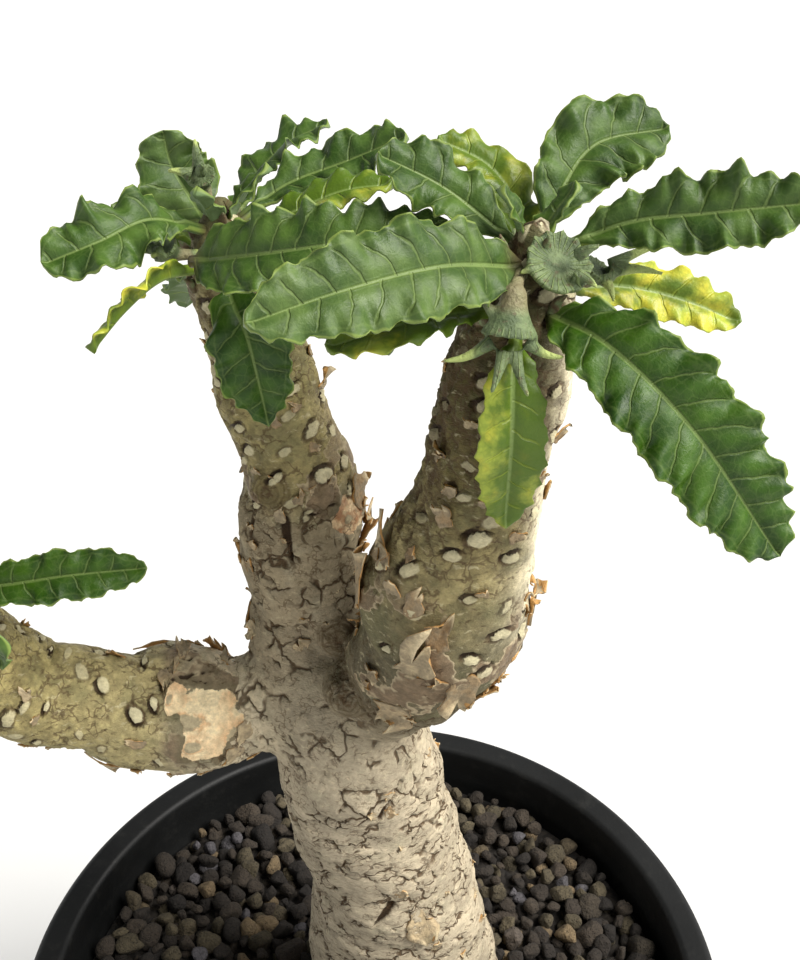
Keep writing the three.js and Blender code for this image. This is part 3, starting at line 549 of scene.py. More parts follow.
class Nodes:
    """Adds nodes to a material's tree or a modifier's, so one texture can shape a mesh and colour it."""

    def __init__(self, tree):
        self.tree = tree
        self.shading = tree.type == "SHADER"

    def add(self, kind, inputs=None, output=0, **settings):
        node = self.tree.nodes.new(kind)
        for key, value in settings.items():
            setattr(node, key, value)
        for key, value in (inputs or {}).items():
            self.feed(node.inputs[key], value)
        return node.outputs[output]

    def feed(self, socket, value):
        if isinstance(value, bpy.types.NodeSocket):
            self.tree.links.new(value, socket)
        elif socket.type == "RGBA":
            socket.default_value = (*value[:3], 1)
        else:
            socket.default_value = value

    def field(self, name, vector=False):
        """What was painted on the mesh under this name."""
        if self.shading:
            output = "Vector" if vector else "Fac"
            return self.add("ShaderNodeAttribute", output=output, attribute_name=name)
        kind = "FLOAT_VECTOR" if vector else "FLOAT"
        return self.add("GeometryNodeInputNamedAttribute", {"Name": name}, data_type=kind)

    def math(self, operation, *values):
        return self.add("ShaderNodeMath", dict(enumerate(values)), operation=operation)

    def plus(self, *values):
        total = values[0]
        for value in values[1:]:
            total = self.math("ADD", total, value)
        return total

    def times(self, *values):
        total = values[0]
        for value in values[1:]:
            total = self.math("MULTIPLY", total, value)
        return total

    def less(self, a, b):
        return self.math("SUBTRACT", a, b)

    def rest_of(self, value):
        return self.math("SUBTRACT", 1.0, value)

    def vector_math(self, operation, a, b=None, scale=None):
        inputs = {0: a}
        if b is not None:
            inputs[1] = b
        if scale is not None:
            inputs["Scale"] = scale
        return self.add("ShaderNodeVectorMath", inputs, operation=operation)

    def parts(self, vector):
        node = self.add("ShaderNodeSeparateXYZ", {0: vector}).node
        return node.outputs[0], node.outputs[1], node.outputs[2]

    def vector(self, x, y, z):
        return self.add("ShaderNodeCombineXYZ", {0: x, 1: y, 2: z})

    def noise(self, place, scale, detail=2.0, roughness=0.5, output="Fac"):
        return self.add("ShaderNodeTexNoise", {
            "Vector": place, "Scale": scale, "Detail": detail, "Roughness": roughness,
        }, output)

    def cells(self, place, scale, feature="DISTANCE_TO_EDGE", output="Distance"):
        return self.add("ShaderNodeTexVoronoi", {"Vector": place, "Scale": scale}, output, feature=feature)

    def warped(self, place, scale, reach):
        """The place moved about by a noise, by up to half its reach."""
        noise = self.noise(place, scale, 2.0, output="Color")
        shift = self.vector_math("SUBTRACT", noise, (0.5, 0.5, 0.5))
        return self.vector_math("ADD", place, self.vector_math("SCALE", shift, scale=reach))

    def step(self, value, low, high, start=0.0, end=1.0):
        return self.add("ShaderNodeMapRange", {
            "Value": value, "From Min": low, "From Max": high, "To Min": start, "To Max": end,
        }, interpolation_type="SMOOTHSTEP")

    def blend(self, share, a, b):
        """A colour between two colours."""
        return self.add("ShaderNodeMix", {0: share, 6: a, 7: b}, 2, data_type="RGBA")

    def coats(self, colour, *coats):
        """The colour with others over it, each given by its share and itself."""
        for share, coat in coats:
            colour = self.blend(share, colour, coat)
        return colour

    def lerp(self, share, a, b):
        return self.add("ShaderNodeMix", {0: share, 2: a, 3: b}, data_type="FLOAT")

    def darkened(self, colour, share):
        """The colour times a number."""
        return self.vector_math("SCALE", colour, scale=share)

    def bump(self, height, strength=1.0):
        """The normal of a relief whose height is in millimetres."""
        return self.add("ShaderNodeBump", {"Strength": strength, "Distance": MM, "Height": height})


def new_material(name, build, **shader):
    """A material: build(nodes) gives what varies, and shader what is the same all over."""
    material = bpy.data.materials.new(name)
    material.use_nodes = True
    tree = material.node_tree
    tree.nodes.clear()
    nodes = Nodes(tree)
    surface = tree.nodes.new("ShaderNodeBsdfPrincipled")
    for key, value in {**shader, **build(nodes)}.items():
        nodes.feed(surface.inputs[key.replace("_", " ")], value)
    output = tree.nodes.new("ShaderNodeOutputMaterial")
    tree.links.new(surface.outputs[0], output.inputs["Surface"])
    return material


# Stem

def stem_height(points):
    """How far points lie over the stem's smooth surface."""
    heights = {name: limb.locate(points)[2] for name, limb in limbs.items()}
    whole = heights["trunk"]
    for name, blend in FORK_BLEND.items():
        whole = smooth_min(whole, heights[name], blend)
    for x, y, z, radius in KNOBS:
        whole = smooth_min(whole, np.linalg.norm(points - [x, y, z], axis=1) - radius, KNOB_BLEND)
    return whole


def rough_stem():
    """The limbs and knobs as one closed mesh of even quads."""
    sides, pitch = ROUGH_RING["sides"], ROUGH_RING["pitch"]
    skins = [limb.skin(int(limb.length / pitch), sides) for limb in limbs.values()]
    piece = new_object("stem_bark", *joined(skins))
    ball = bmesh.new()
    ball.from_mesh(piece.data)
    for x, y, z, radius in KNOBS:
        made = bmesh.ops.create_icosphere(ball, subdivisions=3, radius=radius * MM)
        bmesh.ops.translate(ball, verts=made["verts"], vec=(x * MM, y * MM, z * MM))
    ball.to_mesh(piece.data)
    ball.free()
    add_remesh(piece, STEM_VOXEL)
    return applied(piece)


def settle(mesh, rounds):
    """Brings a mesh's points onto the stem's smooth surface."""
    for _ in range(rounds):
        points = points_of(mesh)
        height = np.clip(stem_height(points), -1.5, 1.5)
        move_points(mesh, points - normals_of(mesh) * height[:, None])


def make_stem():
    piece = rough_stem()
    settle(piece.data, 2)
    finer = bmesh.new()
    finer.from_mesh(piece.data)
    edges = {e for f in finer.faces if f.calc_center_median().z > FINE_ABOVE * MM for e in f.edges}
    bmesh.ops.subdivide_edges(finer, edges=list(edges), cuts=1, use_grid_fill=True)
    bmesh.ops.triangulate(finer, faces=[f for f in finer.faces if len(f.verts) > 4])
    every_way = {"use_axis_x": True, "use_axis_y": True, "use_axis_z": True}
    bmesh.ops.smooth_vert(finer, verts=finer.verts[:], factor=0.5, **every_way)
    finer.to_mesh(piece.data)
    finer.free()
    piece.data.shade_smooth()
    settle(piece.data, 3)
    return piece


# What the bark's relief and colours are painted with

def nearest_limb(points):
    """For each point: every limb's share, angle and height there, and how much it belongs to each."""
    found = {name: limb.locate(points, SHARE_SOFTENED) for name, limb in limbs.items()}
    heights = np.stack([found[name][2] for name in limbs])
    weights = np.exp(-(heights - heights.min(axis=0)) / ZONE_BLEND)
    return found, weights / weights.sum(axis=0)


def turned_by(angle, start):
    """How far an angle lies past the start, between half a turn either way."""
    return (angle - start + np.pi) % (2 * np.pi) - np.pi


def spot_distance(limb, share, angle, spot_share, spot_angle, wide, tall, tilt=0.0):
    """How far points lie from an oval spot on a limb, as a share of its size, and how much of that
    is to its upper left."""
    up = (share - spot_share) * limb.length
    round_ = turned_by(angle, spot_angle) * limb.radius(spot_share)
    across = (round_ * math.cos(tilt) + up * math.sin(tilt)) / wide
    along = (up * math.cos(tilt) - round_ * math.sin(tilt)) / tall
    away = np.hypot(across, along)
    return away, (along - 0.3 * across) / np.maximum(away, 0.2)


def cleft_depth(limb, share, angle, height, ends, width):
    """How deep in a cleft points lie, from 0 to 1. It narrows from one end to the other."""
    start_share, start, end_share, end = ends
    middle = math.radians((start + end) / 2)
    radius = limb.radius((start_share + end_share) / 2)
    round_ = turned_by(angle, middle) * radius
    half = math.radians(end - start) / 2 * radius
    way = np.array([(end_share - start_share) * limb.length, 2 * half])
    offset = np.stack([(share - start_share) * limb.length, round_ + half])
    along = np.clip(way @ offset / (way @ way), 0, 1)
    away = np.hypot(offset[0] - along * way[0], offset[1] - along * way[1])
    return np.where(height < NEAR_BARK, np.clip(1.3 - away / (width * (1.15 - along)), 0, 1), 0)


def scar_spots(name, random):
    """Leaf scars: share of the limb, angle, half width, half height, tilt, and how clear each one is.
    The first of each group is where the solid has one."""
    start, end, count = SCARRED[name]
    step = (end - start) / (count - 1)
    spots = []
    for k in range(-2, count + 3):
        angle = math.radians(SCAR_TURN * k + SCAR_START)
        for more, turn, size in SCAR_GROUP:
            wobble = 0 if more == 0 else random.normal(0, 0.25)
            size = size * random.uniform(0.85, 1.15)
            tilt = random.normal(0.3, 0.35)
            clear = random.uniform(0.5, 1)
            spot = (start + step * (k + more), angle + turn + wobble, SCAR_WIDE * size, SCAR_TALL * size)
            spots.append((*spot, tilt, clear))
    return spots


def stretched(points):
    """The points with heights drawn out along the trunk, so that its plates are wider than tall."""
    low = np.minimum(points[:, 2] - TRUNK_TOP, 0)
    return np.column_stack([points[:, 0], points[:, 1], points[:, 2] + low * (TRUNK_STRETCH - 1)])


def zone_fields(found, weights):
    """Fields that follow the limbs: tone, with a painted highlight on the right limb's lit side, how plated
    and corky the bark is, its seams and scars.
    """
    random = np.random.default_rng(8)
    count = weights.shape[1]
    tone = np.zeros((count, 3))
    plated, corky, seam, over, vivid = (np.zeros(count) for _ in range(5))
    scar = np.full(count, 9.0)
    for (name, limb), weight in zip(limbs.items(), weights):
        share, angle, _ = found[name]
        stops = np.array(BARK_STOPS[name], float)
        skin = np.stack([np.interp(share, stops[:, 0], column) for column in stops[:, 1:4].T], 1)
        tone += skin * weight[:, None]
        plated += np.interp(share, stops[:, 0], stops[:, 4]) * weight
        corky += np.interp(share, stops[:, 0], stops[:, 5]) * weight
        edge, dip, turn = SEAMS[name]
        seam += weight * np.clip((edge + dip * np.cos(angle - turn) - share) * limb.length, -20, 20)
        if name in SCARRED:
            mine = weight > 0.5
            for *spot, clear in scar_spots(name, random):
                away, above = spot_distance(limb, share, angle, *spot)
                nearer = mine & (away < scar)
                scar[nearer] = away[nearer]
                over[nearer] = above[nearer]
                vivid[nearer] = clear
        if name == "right":
            facing = np.exp(-(turned_by(angle, math.radians(CORKY_SIDE)) / 0.8) ** 2)
            corky += weight * facing * smoothstep(0.48, 0.56, share)
            # The right limb's side towards the key light is painted paler: partly its papery cream bark,
            # partly a painted highlight
            lit_pale = np.exp(-(turned_by(angle, math.radians(LIT_PALE_SIDE)) / 0.5) ** 2)
            lit_pale = lit_pale * smoothstep(0.3, 0.5, share)
            tone += (weight * lit_pale)[:, None] * (np.array(LIT_PALE_TONE) - tone) * 0.9
            corky *= 1 - 0.8 * weight * lit_pale
    corky = np.clip(corky, 0, 1)
    return {
        "tone": tone, "plated": plated, "corky": corky, "seam": seam, "scar": scar, "over": over,
        "vivid": vivid,
    }


def spot_fields(points, found):
    """Fields round single spots: peeled patches and the marks on them, clefts, and wrinkles."""
    count = len(points)
    peel, mark, ring = np.full(count, -2.0), np.full(count, 4.0), np.full(count, 2.0)
    rust, cleft, reach = np.zeros(count), np.zeros(count), np.ones(count)
    for name, share, degrees, wide, tall, red in PEELS:
        away, _ = spot_distance(limbs[name], *found[name][:2], share, math.radians(degrees), wide, tall)
        nearer = (1 - away > peel) & (found[name][2] < NEAR_BARK)
        peel[nearer] = 1 - away[nearer]
        rust[nearer] = red
    for name, share, degrees, wide, tall in MARKS:
        away, _ = spot_distance(limbs[name], *found[name][:2], share, math.radians(degrees), wide, tall)
        mark = np.minimum(mark, np.where(found[name][2] < NEAR_BARK, away, 4))
    for name, *ends, width in CLEFTS:
        cleft = np.maximum(cleft, cleft_depth(limbs[name], *found[name], ends, width))
    for x, y, z, size in RINGS:
        away = np.linalg.norm(points - [x, y, z], axis=1) / size
        reach[away < ring] = size
        ring = np.minimum(ring, away)
    return {"peel": peel, "rust": rust, "mark": mark, "cleft": cleft, "ring": ring, "reach": reach}


def paint_bark(mesh):
    points = points_of(mesh)
    found, weights = nearest_limb(points)
    fields = {"rest": stretched(points), "height": points[:, 2]}
    fields.update(zone_fields(found, weights))
    fields.update(spot_fields(points, found))
    for name, values in fields.items():
        paint(mesh, name, values)


def bark_relief(nodes):
    """The bark's height in millimetres, and the masks that its colours follow."""
    rest = nodes.field("rest", vector=True)
    cloud = nodes.noise(rest, 0.33, 3.0, 0.6)
    ragged = nodes.times(nodes.less(cloud, 0.5), 9.0)
    old = nodes.step(nodes.plus(nodes.field("seam"), ragged), -0.25, 0.25)
    plated = nodes.times(nodes.field("plated"), old)

    place = nodes.warped(rest, 0.2, 5.5)
    edge = nodes.cells(place, 1 / PLATE)
    shade = nodes.parts(nodes.cells(place, 1 / PLATE, "F1", "Color"))[0]
    open_ = nodes.step(nodes.noise(rest, 0.19, 2.0), 0.46, 0.58)
    crack = nodes.times(nodes.step(edge, 0.075, 0.015), open_, plated)
    fine_edge = nodes.cells(nodes.warped(rest, 0.55, 2.4), 2.4 / PLATE)
    fine_open = nodes.step(nodes.noise(rest, 0.31, 2.0), 0.5, 0.6)
    fine_crack = nodes.times(nodes.step(fine_edge, 0.085, 0.02), fine_open, plated)
    lumps = nodes.less(nodes.noise(rest, 0.28, 3.0), 0.5)
    grit = nodes.less(nodes.noise(rest, 1.1, 4.0, 0.65), 0.5)
    rough = nodes.less(nodes.noise(rest, 0.5, 5.0, 0.65), 0.5)
    corky = nodes.field("corky")
    dash_place = nodes.vector_math("MULTIPLY", nodes.warped(rest, 0.7, 1.5), (0.75, 0.75, 1.9))
    dashes = nodes.noise(dash_place, 0.62, 3.0, 0.6)

    scar = nodes.field("scar")
    scar = nodes.plus(scar, nodes.times(grit, 0.7))
    vivid = nodes.field("vivid")
    pad = nodes.times(nodes.step(scar, 1.15, 0.85), vivid)
    rim = nodes.times(
        nodes.step(scar, 0.85, 1.05), nodes.step(scar, 1.6, 1.15), nodes.step(cloud, 0.4, 0.56), vivid,
    )
    # A dark crescent on the upper left of each scar: a shallow groove, with the shadow of the scar's rim
    # painted into it
    crescent_shadow = nodes.times(
        nodes.step(nodes.field("over"), 0.1, 0.7), nodes.step(scar, 0.82, 0.98),
        nodes.step(scar, 1.75, 1.35), nodes.step(vivid, 0.55, 0.72),
    )
    split_edge = nodes.cells(nodes.warped(rest, 0.6, 2.4), 0.4)
    split_open = nodes.step(nodes.plus(nodes.noise(rest, 0.24, 2.0), nodes.times(corky, 0.28)), 0.54, 0.62)
    ring = nodes.plus(nodes.field("ring"), nodes.times(lumps, 0.55))
    in_ring = nodes.step(ring, 1.0, 0.6)
    wrinkle = nodes.math("SINE", nodes.times(ring, nodes.field("reach"), 2 * math.pi / RING_PITCH))
    eye = nodes.step(ring, 0.36, 0.2)
    lobed = nodes.less(nodes.noise(rest, 0.2, 2.0), 0.5)
    peel_field = nodes.plus(
        nodes.field("peel"), nodes.times(lobed, 1.2), nodes.times(ragged, 0.07), nodes.times(grit, 0.3),
    )
    peel = nodes.step(peel_field, 0.08, 0.13)
    split = nodes.times(
        nodes.step(split_edge, 0.09, 0.02), split_open, nodes.rest_of(old), nodes.rest_of(peel),
    )
    mark = nodes.plus(nodes.field("mark"), nodes.times(grit, 0.8))
    spot = nodes.times(nodes.step(mark, 1.12, 0.9), peel)
    cleft = nodes.plus(nodes.field("cleft"), nodes.times(grit, 0.7), nodes.times(lobed, 0.5))
    cleft = nodes.times(nodes.step(cleft, 0.3, 0.75), nodes.step(nodes.field("cleft"), 0.0, 0.15))
    film_field = nodes.noise(rest, 0.115, 3.0, 0.55)
    filmy = nodes.times(nodes.step(nodes.field("plated"), 0.24, 0.42), nodes.rest_of(old))
    film = nodes.times(nodes.step(film_field, 0.54, 0.552), filmy)
    film_edge = nodes.times(film, nodes.step(film_field, 0.585, 0.555))

    old_height = nodes.plus(
        0.35, nodes.times(crack, -0.6), nodes.times(fine_crack, -0.25), nodes.times(lumps, 0.9),
        nodes.times(nodes.less(shade, 0.5), plated, 0.3),
    )
    height = nodes.plus(
        nodes.times(old, old_height), nodes.times(nodes.rest_of(old), lumps, 0.8), nodes.times(grit, 0.2),
        nodes.times(rough, corky, 1.9), nodes.times(pad, 0.2), nodes.times(rim, -0.3),
        nodes.times(wrinkle, in_ring, 0.16), nodes.times(eye, -0.4), nodes.times(peel, -0.35),
        nodes.times(nodes.step(dashes, 0.6, 0.7), -0.15), nodes.times(spot, 0.25), nodes.times(cleft, -0.9),
        nodes.times(film, 0.3), nodes.times(crescent_shadow, -0.55), nodes.times(split, -0.35),
    )
    crisp = nodes.plus(
        nodes.times(crack, -0.6), nodes.times(grit, 0.25), nodes.times(pad, 0.2), nodes.times(rim, -0.3),
        nodes.times(crescent_shadow, -0.55),
    )
    return {
        "height": height, "crisp": crisp, "rest": rest, "old": old, "shade": shade, "crack": crack,
        "fine_crack": fine_crack, "grit": grit, "rough": rough, "corky": corky, "cloud": cloud,
        "dashes": dashes, "pad": pad, "rim": rim, "crescent_shadow": crescent_shadow, "split": split,
        "in_ring": in_ring, "wrinkle": wrinkle, "eye": eye, "peel": peel, "peel_field": peel_field,
        "mark": mark, "spot": spot, "cleft": cleft, "film": film, "film_edge": film_edge,
    }


def old_bark(nodes, relief, tone):
    """The colour of plated old bark."""
    rest, dashes = relief["rest"], relief["dashes"]
    plate = nodes.coats(
        nodes.darkened(tone, 0.8),
        (nodes.step(nodes.noise(rest, 0.09, 4.0, 0.6), 0.35, 0.65), tone),
        (nodes.step(nodes.noise(rest, 0.21, 3.0), 0.5, 0.72, 0.0, 0.55), BARK_GREY),
    )
    return nodes.coats(
        nodes.darkened(plate, nodes.lerp(relief["shade"], 0.86, 1.1)),
        (nodes.step(dashes, 0.56, 0.7, 0.0, 0.55), CORK_BROWN),
        (nodes.step(dashes, 0.42, 0.3, 0.0, 0.35), BARK_CREAM),
    )


def young_skin(nodes, relief, tone):
    """The colour of the smooth skin above the seams."""
    rest, dashes = relief["rest"], relief["dashes"]
    mottled = nodes.step(nodes.noise(rest, 0.4, 5.0, 0.65), 0.25, 0.75, 0.6, 1.4)
    return nodes.coats(
        nodes.darkened(tone, mottled),
        (nodes.step(nodes.noise(rest, 0.13, 4.0, 0.6), 0.48, 0.62, 0.0, 0.4), SKIN_GREEN),
        (nodes.step(dashes, 0.42, 0.3, 0.0, 0.45), SCAR_CREAM),
        (nodes.step(dashes, 0.58, 0.7, 0.0, 0.75), CORK_BROWN),
    )


def bare_patch(nodes, relief):
    """The colour where bark has peeled: cream with rust, and greyish marks with a rusty ring."""
    rest, cloud = relief["rest"], relief["cloud"]
    rust = nodes.field("rust")
    clouded = nodes.step(nodes.noise(rest, 0.2, 3.0), 0.46, 0.6)
    edge = nodes.times(clouded, nodes.step(relief["peel_field"], 1.1, 0.2), 0.5)
    inner = nodes.times(rust, nodes.step(cloud, 0.7, 0.4))
    ring = nodes.times(nodes.step(relief["mark"], 1.7, 1.15), nodes.step(cloud, 0.4, 0.55), 0.6)
    stain = nodes.math("MAXIMUM", nodes.math("MAXIMUM", edge, inner), ring)
    bare = nodes.coats(
        PEEL_CREAM,
        (stain, nodes.blend(rust, PEEL_ORANGE, PEEL_RUST)),
        (relief["spot"], MARK_GREY),
    )
    return nodes.darkened(bare, nodes.step(nodes.noise(rest, 0.8, 4.0, 0.7), 0.3, 0.7, 0.8, 1.12))


def bark_look(nodes):
    relief = bark_relief(nodes)
    rest, old, grit, in_ring = (relief[key] for key in ("rest", "old", "grit", "in_ring"))
    tone = nodes.field("tone", vector=True)
    # A dark line along the seam: partly the seam itself, partly the painted shadow of the old bark's raised
    # edge
    seam_line_and_shadow = nodes.times(old, nodes.rest_of(old), 3.0)
    film = nodes.darkened(FILM_PINK, nodes.step(nodes.noise(rest, 0.6, 4.0, 0.65), 0.3, 0.7, 0.75, 1.2))
    film = nodes.blend(nodes.times(relief["film_edge"], 0.6), film, BARK_CREAM)
    around_peel = nodes.times(nodes.step(relief["peel_field"], -0.75, 0.0), nodes.rest_of(old))
    deep_brown = nodes.darkened(CRACK_BROWN, 0.45)
    colour = nodes.coats(
        young_skin(nodes, relief, tone),
        (old, old_bark(nodes, relief, tone)),
        (nodes.math("MINIMUM", seam_line_and_shadow, 0.8), CRACK_BROWN),
        (nodes.times(relief["corky"], nodes.step(relief["rough"], 0.1, -0.12)), CORK_BROWN),
        (nodes.times(relief["film"], 0.85), film),
        (nodes.times(around_peel, 0.6), SKIN_DARK),
        (relief["peel"], bare_patch(nodes, relief)),
        (nodes.times(in_ring, nodes.step(relief["wrinkle"], 0.3, -0.9), 0.5), CORK_BROWN),
        (nodes.times(in_ring, 0.35), CORK_BROWN),
        (nodes.times(relief["eye"], nodes.step(grit, -0.1, 0.1), 0.8), CRACK_BROWN),
        (nodes.times(relief["split"], 0.65), CRACK_BROWN),
        # Scars are painted less cream where the bark is most corky, mostly the right limb's side away from
        # the key light: partly the corky bark, partly painted shade
        (nodes.times(relief["pad"], nodes.step(relief["corky"], 0.5, 1.0, 0.92, 0.3)), SCAR_CREAM),
        (nodes.times(relief["rim"], 0.95), CRACK_BROWN),
        # Painted shadow: the crescent beside each scar in deep brown
        (nodes.times(relief["crescent_shadow"], 0.95), deep_brown),
        (relief["cleft"], deep_brown),
        (nodes.times(relief["crack"], 0.9), CRACK_BROWN),
        (nodes.times(relief["fine_crack"], 0.6), CRACK_BROWN),
    )
    colour = nodes.darkened(colour, nodes.step(grit, -0.3, 0.3, 0.78, 1.16))
    dust = nodes.step(nodes.field("height"), SOIL_MARK, GRAVEL_TOP - 2, 0.0, 0.6)
    colour = nodes.blend(dust, colour, GRIT_BROWN)
    fibres = nodes.noise(nodes.vector_math("MULTIPLY", rest, (1.0, 1.0, 2.2)), 1.7, 3.0, 0.7)
    detail = nodes.plus(nodes.times(relief["crisp"], 0.9), nodes.times(fibres, 0.35))
    return {
        "Base Color": colour,
        "Roughness": nodes.lerp(old, 0.6, 0.85),
        "Normal": nodes.bump(detail, 0.9),
    }


def relieved(piece, relief):
    """The piece with each point moved out along its normal by the relief, in millimetres."""
    tree = bpy.data.node_groups.new("relief", "GeometryNodeTree")
    tree.interface.new_socket("Geometry", in_out="INPUT", socket_type="NodeSocketGeometry")
    tree.interface.new_socket("Geometry", in_out="OUTPUT", socket_type="NodeSocketGeometry")
    nodes = Nodes(tree)
    start = nodes.add("NodeGroupInput")
    normal = nodes.add("GeometryNodeInputNormal")
    shift = nodes.vector_math("SCALE", normal, scale=nodes.times(relief(nodes), MM))
    moved = nodes.add("GeometryNodeSetPosition", {"Geometry": start, "Offset": shift})
    nodes.add("NodeGroupOutput", {0: moved}, output=slice(0, 0))
    piece.modifiers.new("relief", "NODES").node_group = tree
    return applied(piece)


def dressed(piece, material, slot, *replaced):
    """Gives a finished piece its material and its place in the model."""
    piece.data.materials.clear()
    piece.data.materials.append(material)
    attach(piece, "root")
    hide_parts(*replaced)
    return piece


# Flakes of bark that stand off it

def flake_sheet(limb, spot, random):
    """A ragged sheet: its root lies on the limb and its free end curls away. Points, faces, look."""
    share, degrees, breadth, length, lift, points_way = spot
    s = np.repeat(np.linspace(0, 1, FLAKE_ROWS), FLAKE_COLUMNS)
    q = np.tile(np.linspace(-1, 1, FLAKE_COLUMNS), FLAKE_ROWS)
    wobble = np.convolve(random.normal(0, 0.5, FLAKE_COLUMNS + 2), [0.3, 0.4, 0.3], "valid")
    sides = 1 + 0.3 * np.sin(6 * s + random.uniform(0, 6) + 0.8 * np.sign(q))
    sides += random.normal(0, 0.11, len(s))
    half = breadth / 2 * np.sin(np.pi * (0.16 + 0.74 * s)) ** FLAKE_TAPER * sides
    forward = (s - 0.4) * length * (1 + np.tile(wobble, FLAKE_ROWS) * s)
    sideways = q * half
    heading = math.radians(points_way)
    up = forward * math.cos(heading) - sideways * math.sin(heading)
    round_ = forward * math.sin(heading) + sideways * math.cos(heading)
    curl = lift * s**1.6 * (1 + 0.5 * np.sin(2.4 * q + random.uniform(0, 6)))
    curl += 0.5 * np.maximum(np.abs(q) - 0.5, 0) * lift + random.normal(0, 0.05, len(s))
    turn = math.radians(degrees) + round_ / limb.radius(share)
    places, outward, _ = limb.spot(share + up / limb.length, turn)
    thick = np.where(s < 0.2, 0.7, FLAKE_THICK)
    tops = places + outward * (curl + FLAKE_LIES)[:, None]
    bottoms = tops - outward * thick[:, None]
    shade = random.uniform(0, 1)
    look = np.column_stack([
        np.concatenate([np.zeros(len(s)), np.ones(len(s))]), np.full(2 * len(s), shade), np.tile(s, 2),
    ])
    return np.vstack([tops, bottoms]), sheet_faces(FLAKE_ROWS, FLAKE_COLUMNS), look


def on_peel(name, share, degrees):
    """Whether a spot on a limb lies on a peeled patch."""
    for limb, at, turn, *size, _ in PEELS:
        spot = (share, math.radians(degrees), at, math.radians(turn), *size)
        if name == limb and spot_distance(limbs[name], *spot)[0] < PEEL_KEPT_CLEAR:
            return True
    return False


def make_flakes():
    random = np.random.default_rng(11)
    spots = [(name, row) for name, *row in FLAKES]
    for name, start, end, count, small, large in FLAKED:
        for _ in range(count):
            size = random.uniform(small, large)
            share, degrees = random.uniform(start, end), random.uniform(-180, 180)
            length, lift = size * random.uniform(0.8, 1.5), size * random.uniform(0.2, 0.5)
            spot = [share, degrees, size, length, lift, random.normal(0, 50)]
            if not on_peel(name, share, degrees):
                spots.append((name, spot))
    sheets = [flake_sheet(limbs[name], spot, random) for name, spot in spots]
    points, faces = joined([sheet[:2] for sheet in sheets])
    piece = new_object("bark_flakes", points, faces)
    paint(piece.data, "look", np.concatenate([sheet[2] for sheet in sheets]))
    paint(piece.data, "rest", points)
    return piece


def flake_look(nodes):
    inner, shade, along = nodes.parts(nodes.field("look", vector=True))
    rest = nodes.field("rest", vector=True)
    outside = nodes.blend(shade, FLAKE_TAN, BARK_TAN)
    outside = nodes.blend(nodes.step(nodes.noise(rest, 0.5, 3.0), 0.4, 0.6, 0.0, 0.8), outside, FLAKE_GREY)
    inside = nodes.blend(nodes.step(nodes.noise(rest, 0.4, 3.0), 0.45, 0.9), FLAKE_ORANGE, CORK_BROWN)
    # Paler towards the curled free end: partly the papery edge, partly a painted highlight where the curl
    # catches the light
    colour = nodes.blend(nodes.step(along, 0.75, 1.0, 0.0, 0.6), outside, PEEL_CREAM)
    colour = nodes.blend(nodes.step(inner, 0.3, 0.7), colour, inside)
    colour = nodes.darkened(colour, nodes.step(nodes.noise(rest, 1.6, 4.0, 0.7), 0.3, 0.7, 0.75, 1.1))
    return {"Base Color": colour, "Normal": nodes.bump(nodes.noise(rest, 1.4, 4.0, 0.6), 0.5)}


# Leaves

def arch(crown, azimuth, rise, length, end_rise, down=0):
    """Four points of a midrib that leaves a crown: see the azimuth and rise at its base, its length,
    the rise that it has bent to at its tip, and how far below the crown's middle it starts."""
    steps = 3
    heading = math.radians(azimuth)
    base = np.array(CROWNS[crown], float) - [0, 0, down]
    points = [base]
    for i in range(steps):
        pitch = math.radians(rise + (end_rise - rise) * (i + 0.5) / steps)
        step = [math.cos(heading) * math.cos(pitch), math.sin(heading) * math.cos(pitch), math.sin(pitch)]
        base = base + np.array(step) * length / steps
        points.append(base)
    return points


